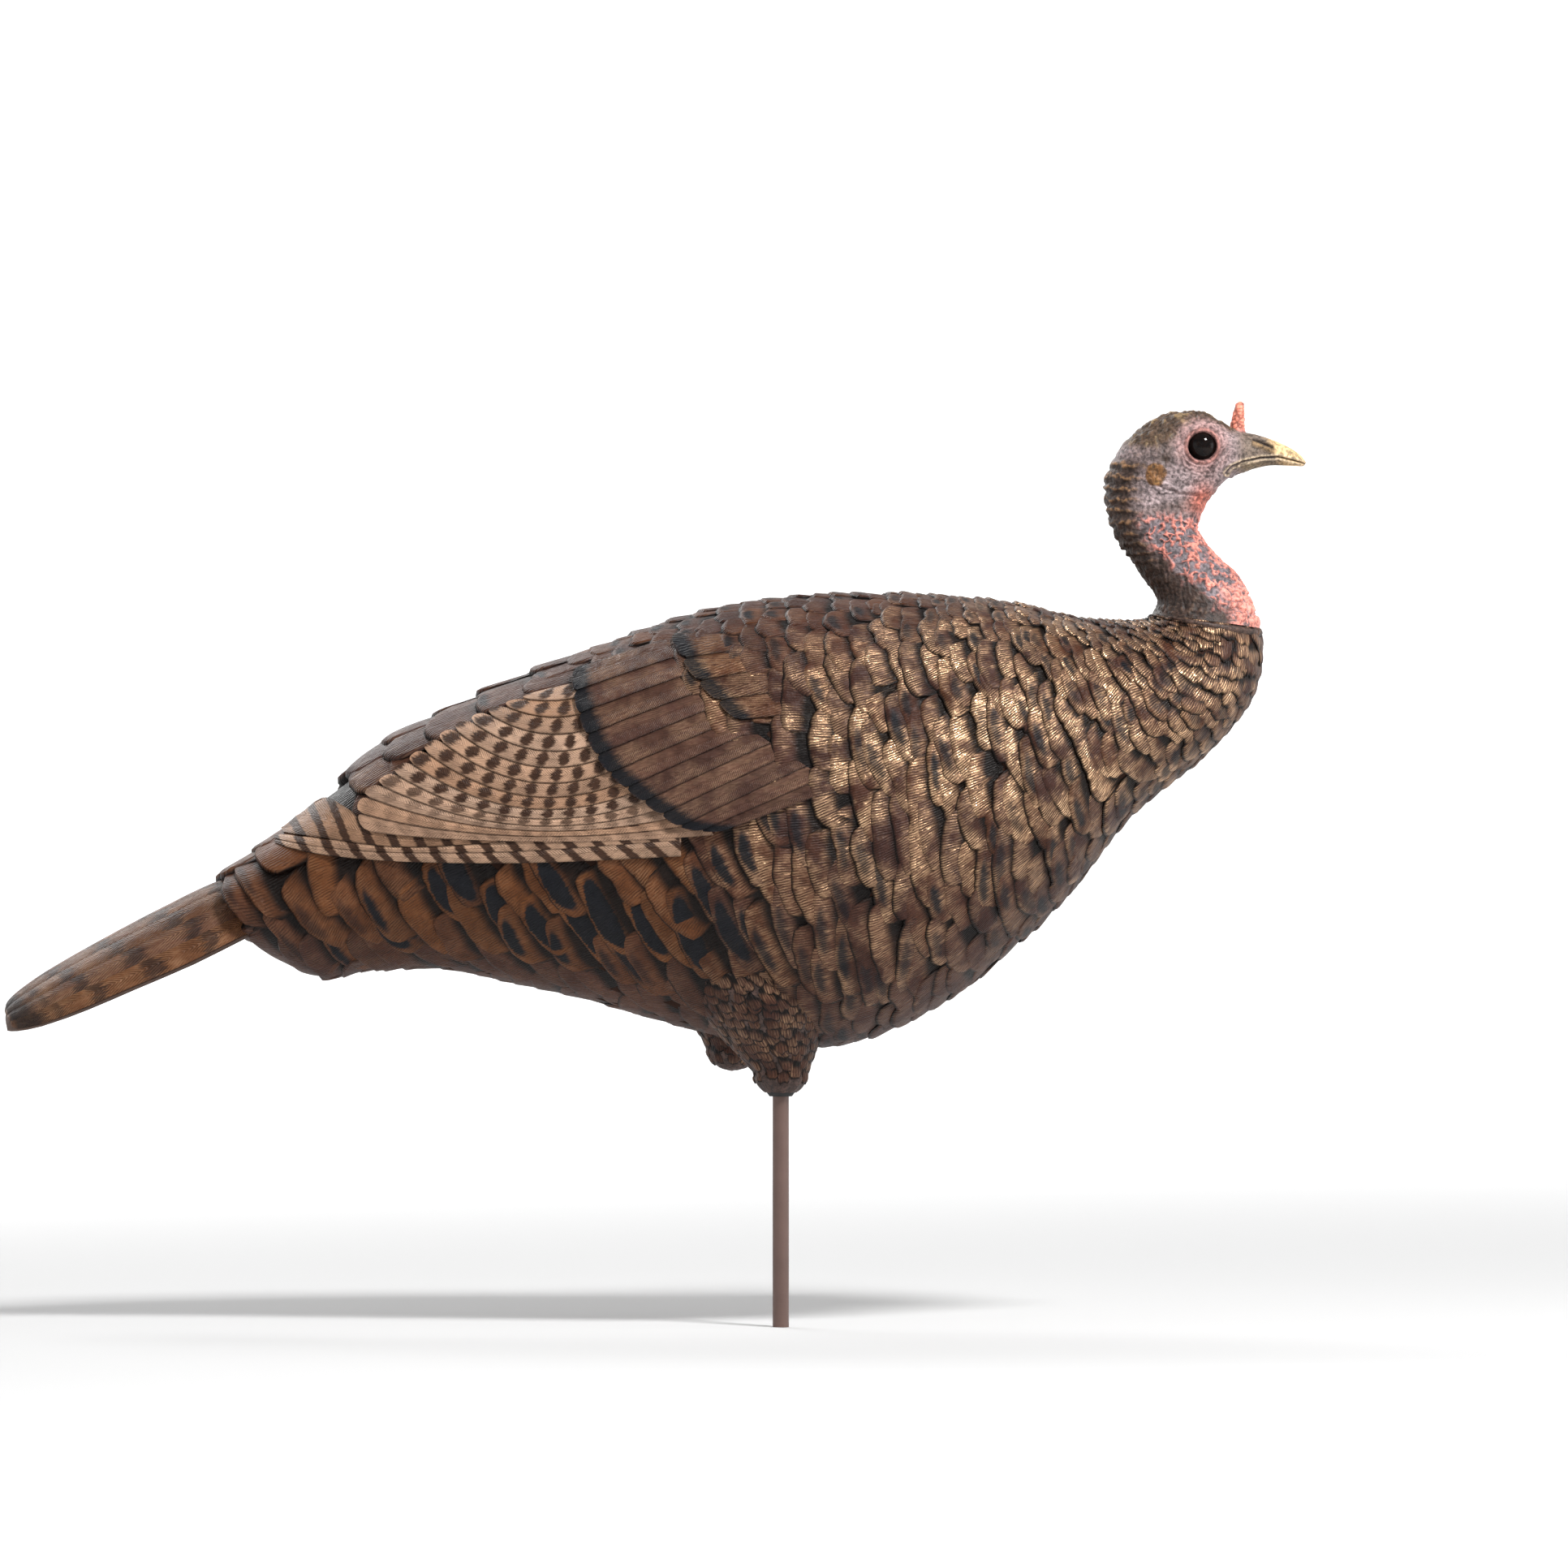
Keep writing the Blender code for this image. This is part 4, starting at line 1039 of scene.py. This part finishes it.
def stage():
    """A pale floor with a far round backdrop, soft lights and the camera."""
    turn = np.linspace(0, math.pi / 2, 24)
    bend = np.stack([18 + 3 * np.sin(turn), 3 - 3 * np.cos(turn)], -1)
    line = np.concatenate([[(0.001, 0), (0.6, 0), (2, 0), (4, 0), (8, 0), (14, 0)], bend, [(21, 14)]])
    angle = np.linspace(0, math.tau, 97)[None, :-1]
    radius, height = line[:, :1], line[:, 1:]
    points = np.stack([radius * np.cos(angle), radius * np.sin(angle), height + 0 * angle], -1)
    mesh = bpy.data.meshes.new("floor")
    quads = grid_faces(*points.shape[:2], wrap=True)
    mesh.from_pydata(points.reshape(-1, 3).tolist(), [], quads.tolist())
    mesh.shade_smooth()
    # The paper glows far from the object, more behind it, so that it stays white in the distance.
    tree = Tree("floor_paper")
    place = tree.place()
    x, y, _ = tree.split(place)
    away = tree.math("SQRT", x * x + y * y)
    glow = tree.step(away, 0.6, 4.5) * tree.step(y, -15.0, 6.0, 0.14, 0.80)
    tree.put(tree.shader.inputs["Emission Strength"], glow)
    tree.shader.inputs["Emission Color"].default_value = (1, 1, 1, 1)
    tree.finish((0.62, 0.62, 0.62, 1), 0.9, 0.0, 0.02 * tree.noise(place, 300), specular=0.1)
    mesh.materials.append(tree.material)
    floor = bpy.data.objects.new("floor", mesh)
    bpy.context.scene.collection.objects.link(floor)

    bpy.context.scene.view_settings.view_transform = "Standard"
    world = bpy.data.worlds.new("studio")
    bpy.context.scene.world = world
    world.use_nodes = True
    nodes, links = world.node_tree.nodes, world.node_tree.links
    split = nodes.new("ShaderNodeSeparateXYZ")
    rise = nodes.new("ShaderNodeMapRange")
    rise.inputs[1].default_value, rise.inputs[2].default_value = -0.1, 0.9
    rise.inputs[3].default_value, rise.inputs[4].default_value = 0.03, 0.30
    links.new(nodes.new("ShaderNodeTexCoord").outputs["Generated"], split.inputs[0])
    links.new(split.outputs["Z"], rise.inputs[0])
    links.new(rise.outputs[0], nodes["Background"].inputs["Strength"])
    nodes["Background"].inputs["Color"].default_value = (1, 1, 1, 1)
    aim = Vector((0, MID_Y, 0.32))
    for name, place, size, power in (
        ("key", (1.3, -1.8, 2.7), 0.65, 135),
        ("fill", (-2.4, -2.4, 1.0), 1.8, 7),
        ("front", (2.6, -0.8, 0.7), 1.2, 9),
        ("rear", (-1.4, 2.4, 2.3), 1.6, 50),
    ):
        light = bpy.data.lights.new(name, "AREA")
        light.energy, light.size = power, size
        lamp = bpy.data.objects.new(name, light)
        lamp.location = place
        lamp.rotation_euler = (aim - lamp.location).to_track_quat("-Z", "Y").to_euler()
        bpy.context.scene.collection.objects.link(lamp)

    camera = bpy.data.objects.new("camera", bpy.data.cameras.new("camera"))
    bpy.context.scene.collection.objects.link(camera)
    distance, seen = 6.5, 0.9177
    camera.location = (0.0019, MID_Y - distance, 0.3164)
    camera.rotation_euler = (math.pi / 2, 0, 0)
    camera.data.lens = camera.data.sensor_width * distance / seen
    bpy.context.scene.camera = camera


def feather_materials():
    """The wings' materials by layer, and the tail's."""
    cream, buff, tan = (0.46, 0.30, 0.21, 1), (0.36, 0.225, 0.15, 1), (0.27, 0.135, 0.07, 1)
    umber = (0.045, 0.020, 0.011, 1)
    smooth_brown, dull_brown = (0.062, 0.026, 0.018, 1), (0.080, 0.034, 0.021, 1)
    tail_brown, tail_warm = (0.078, 0.034, 0.022, 1), (0.115, 0.043, 0.014, 1)
    make = feather_material
    wing = {
        "coverts": make("covert_feathers", tipped, smooth_brown, dull_brown, 0.9, 1.3, 0.12, fringe=0.3),
        "row": make("covert_row", tipped, slant=0.2),
        "secondaries": make("secondary_feathers", spotted, cream, tan, 0.9, 1.5, 0.16, umber, 0.3),
        "primaries": make("primary_feathers", chevroned, buff, tan, 0.8, 1.5, 0.16, umber, 0.3),
    }
    return wing, make("tail_feathers", wavy, tail_brown, tail_warm, 0.9, 1.7, 0.2, fringe=0.5)


def main():
    body = Skin(BODY_SECTIONS, 2.15, 0.48, rows=520, columns=241, overhang=16)
    feathers = feather_material("body_feathers", barred)
    body_feathers(body, feathers)
    wing_paint, tail_paint = feather_materials()
    wings(body, wing_paint)
    tail(tail_paint)
    head(skin_material("head_skin_paint"))
    snood(skin_material("snood_paint", 500, 0.1))
    hair = skin_material("thigh_paint", 700, 0.25)
    collar(body, hair)
    thigh("thigh_right", RIGHT_THIGH, 9.2, hair, feathers)
    thigh("thigh_left", LEFT_THIGH, 0.5, hair, feathers)
    eyes(eye_material())
    shell = plastic("shell_plastic", (0.03, 0.015, 0.011, 1), 0.85, specular=0.05)
    assign(shell, "body_shell_right", "body_shell_left")
    assign(plastic("tail_underside", (0.07, 0.034, 0.02, 1), 0.6, 0.15, 250), "tail_fan")
    assign(plastic("stake_paint", (0.125, 0.075, 0.062, 1), 0.5, 0.06, 900, 0.2), "stake_rod")
    assign(plastic("inner_plastic", (0.05, 0.045, 0.04, 1), 0.5), "neck_plug", "neck_socket", "tail_socket",
           "stake_sleeve", "sleeve_cap", "sleeve_brace", "swivel_bushing")
    assign(plastic("black_rubber", (0.02, 0.02, 0.02, 1), 0.8, 0.08, 700), "neck_ring", "stake_grommet")
    stage()


main()
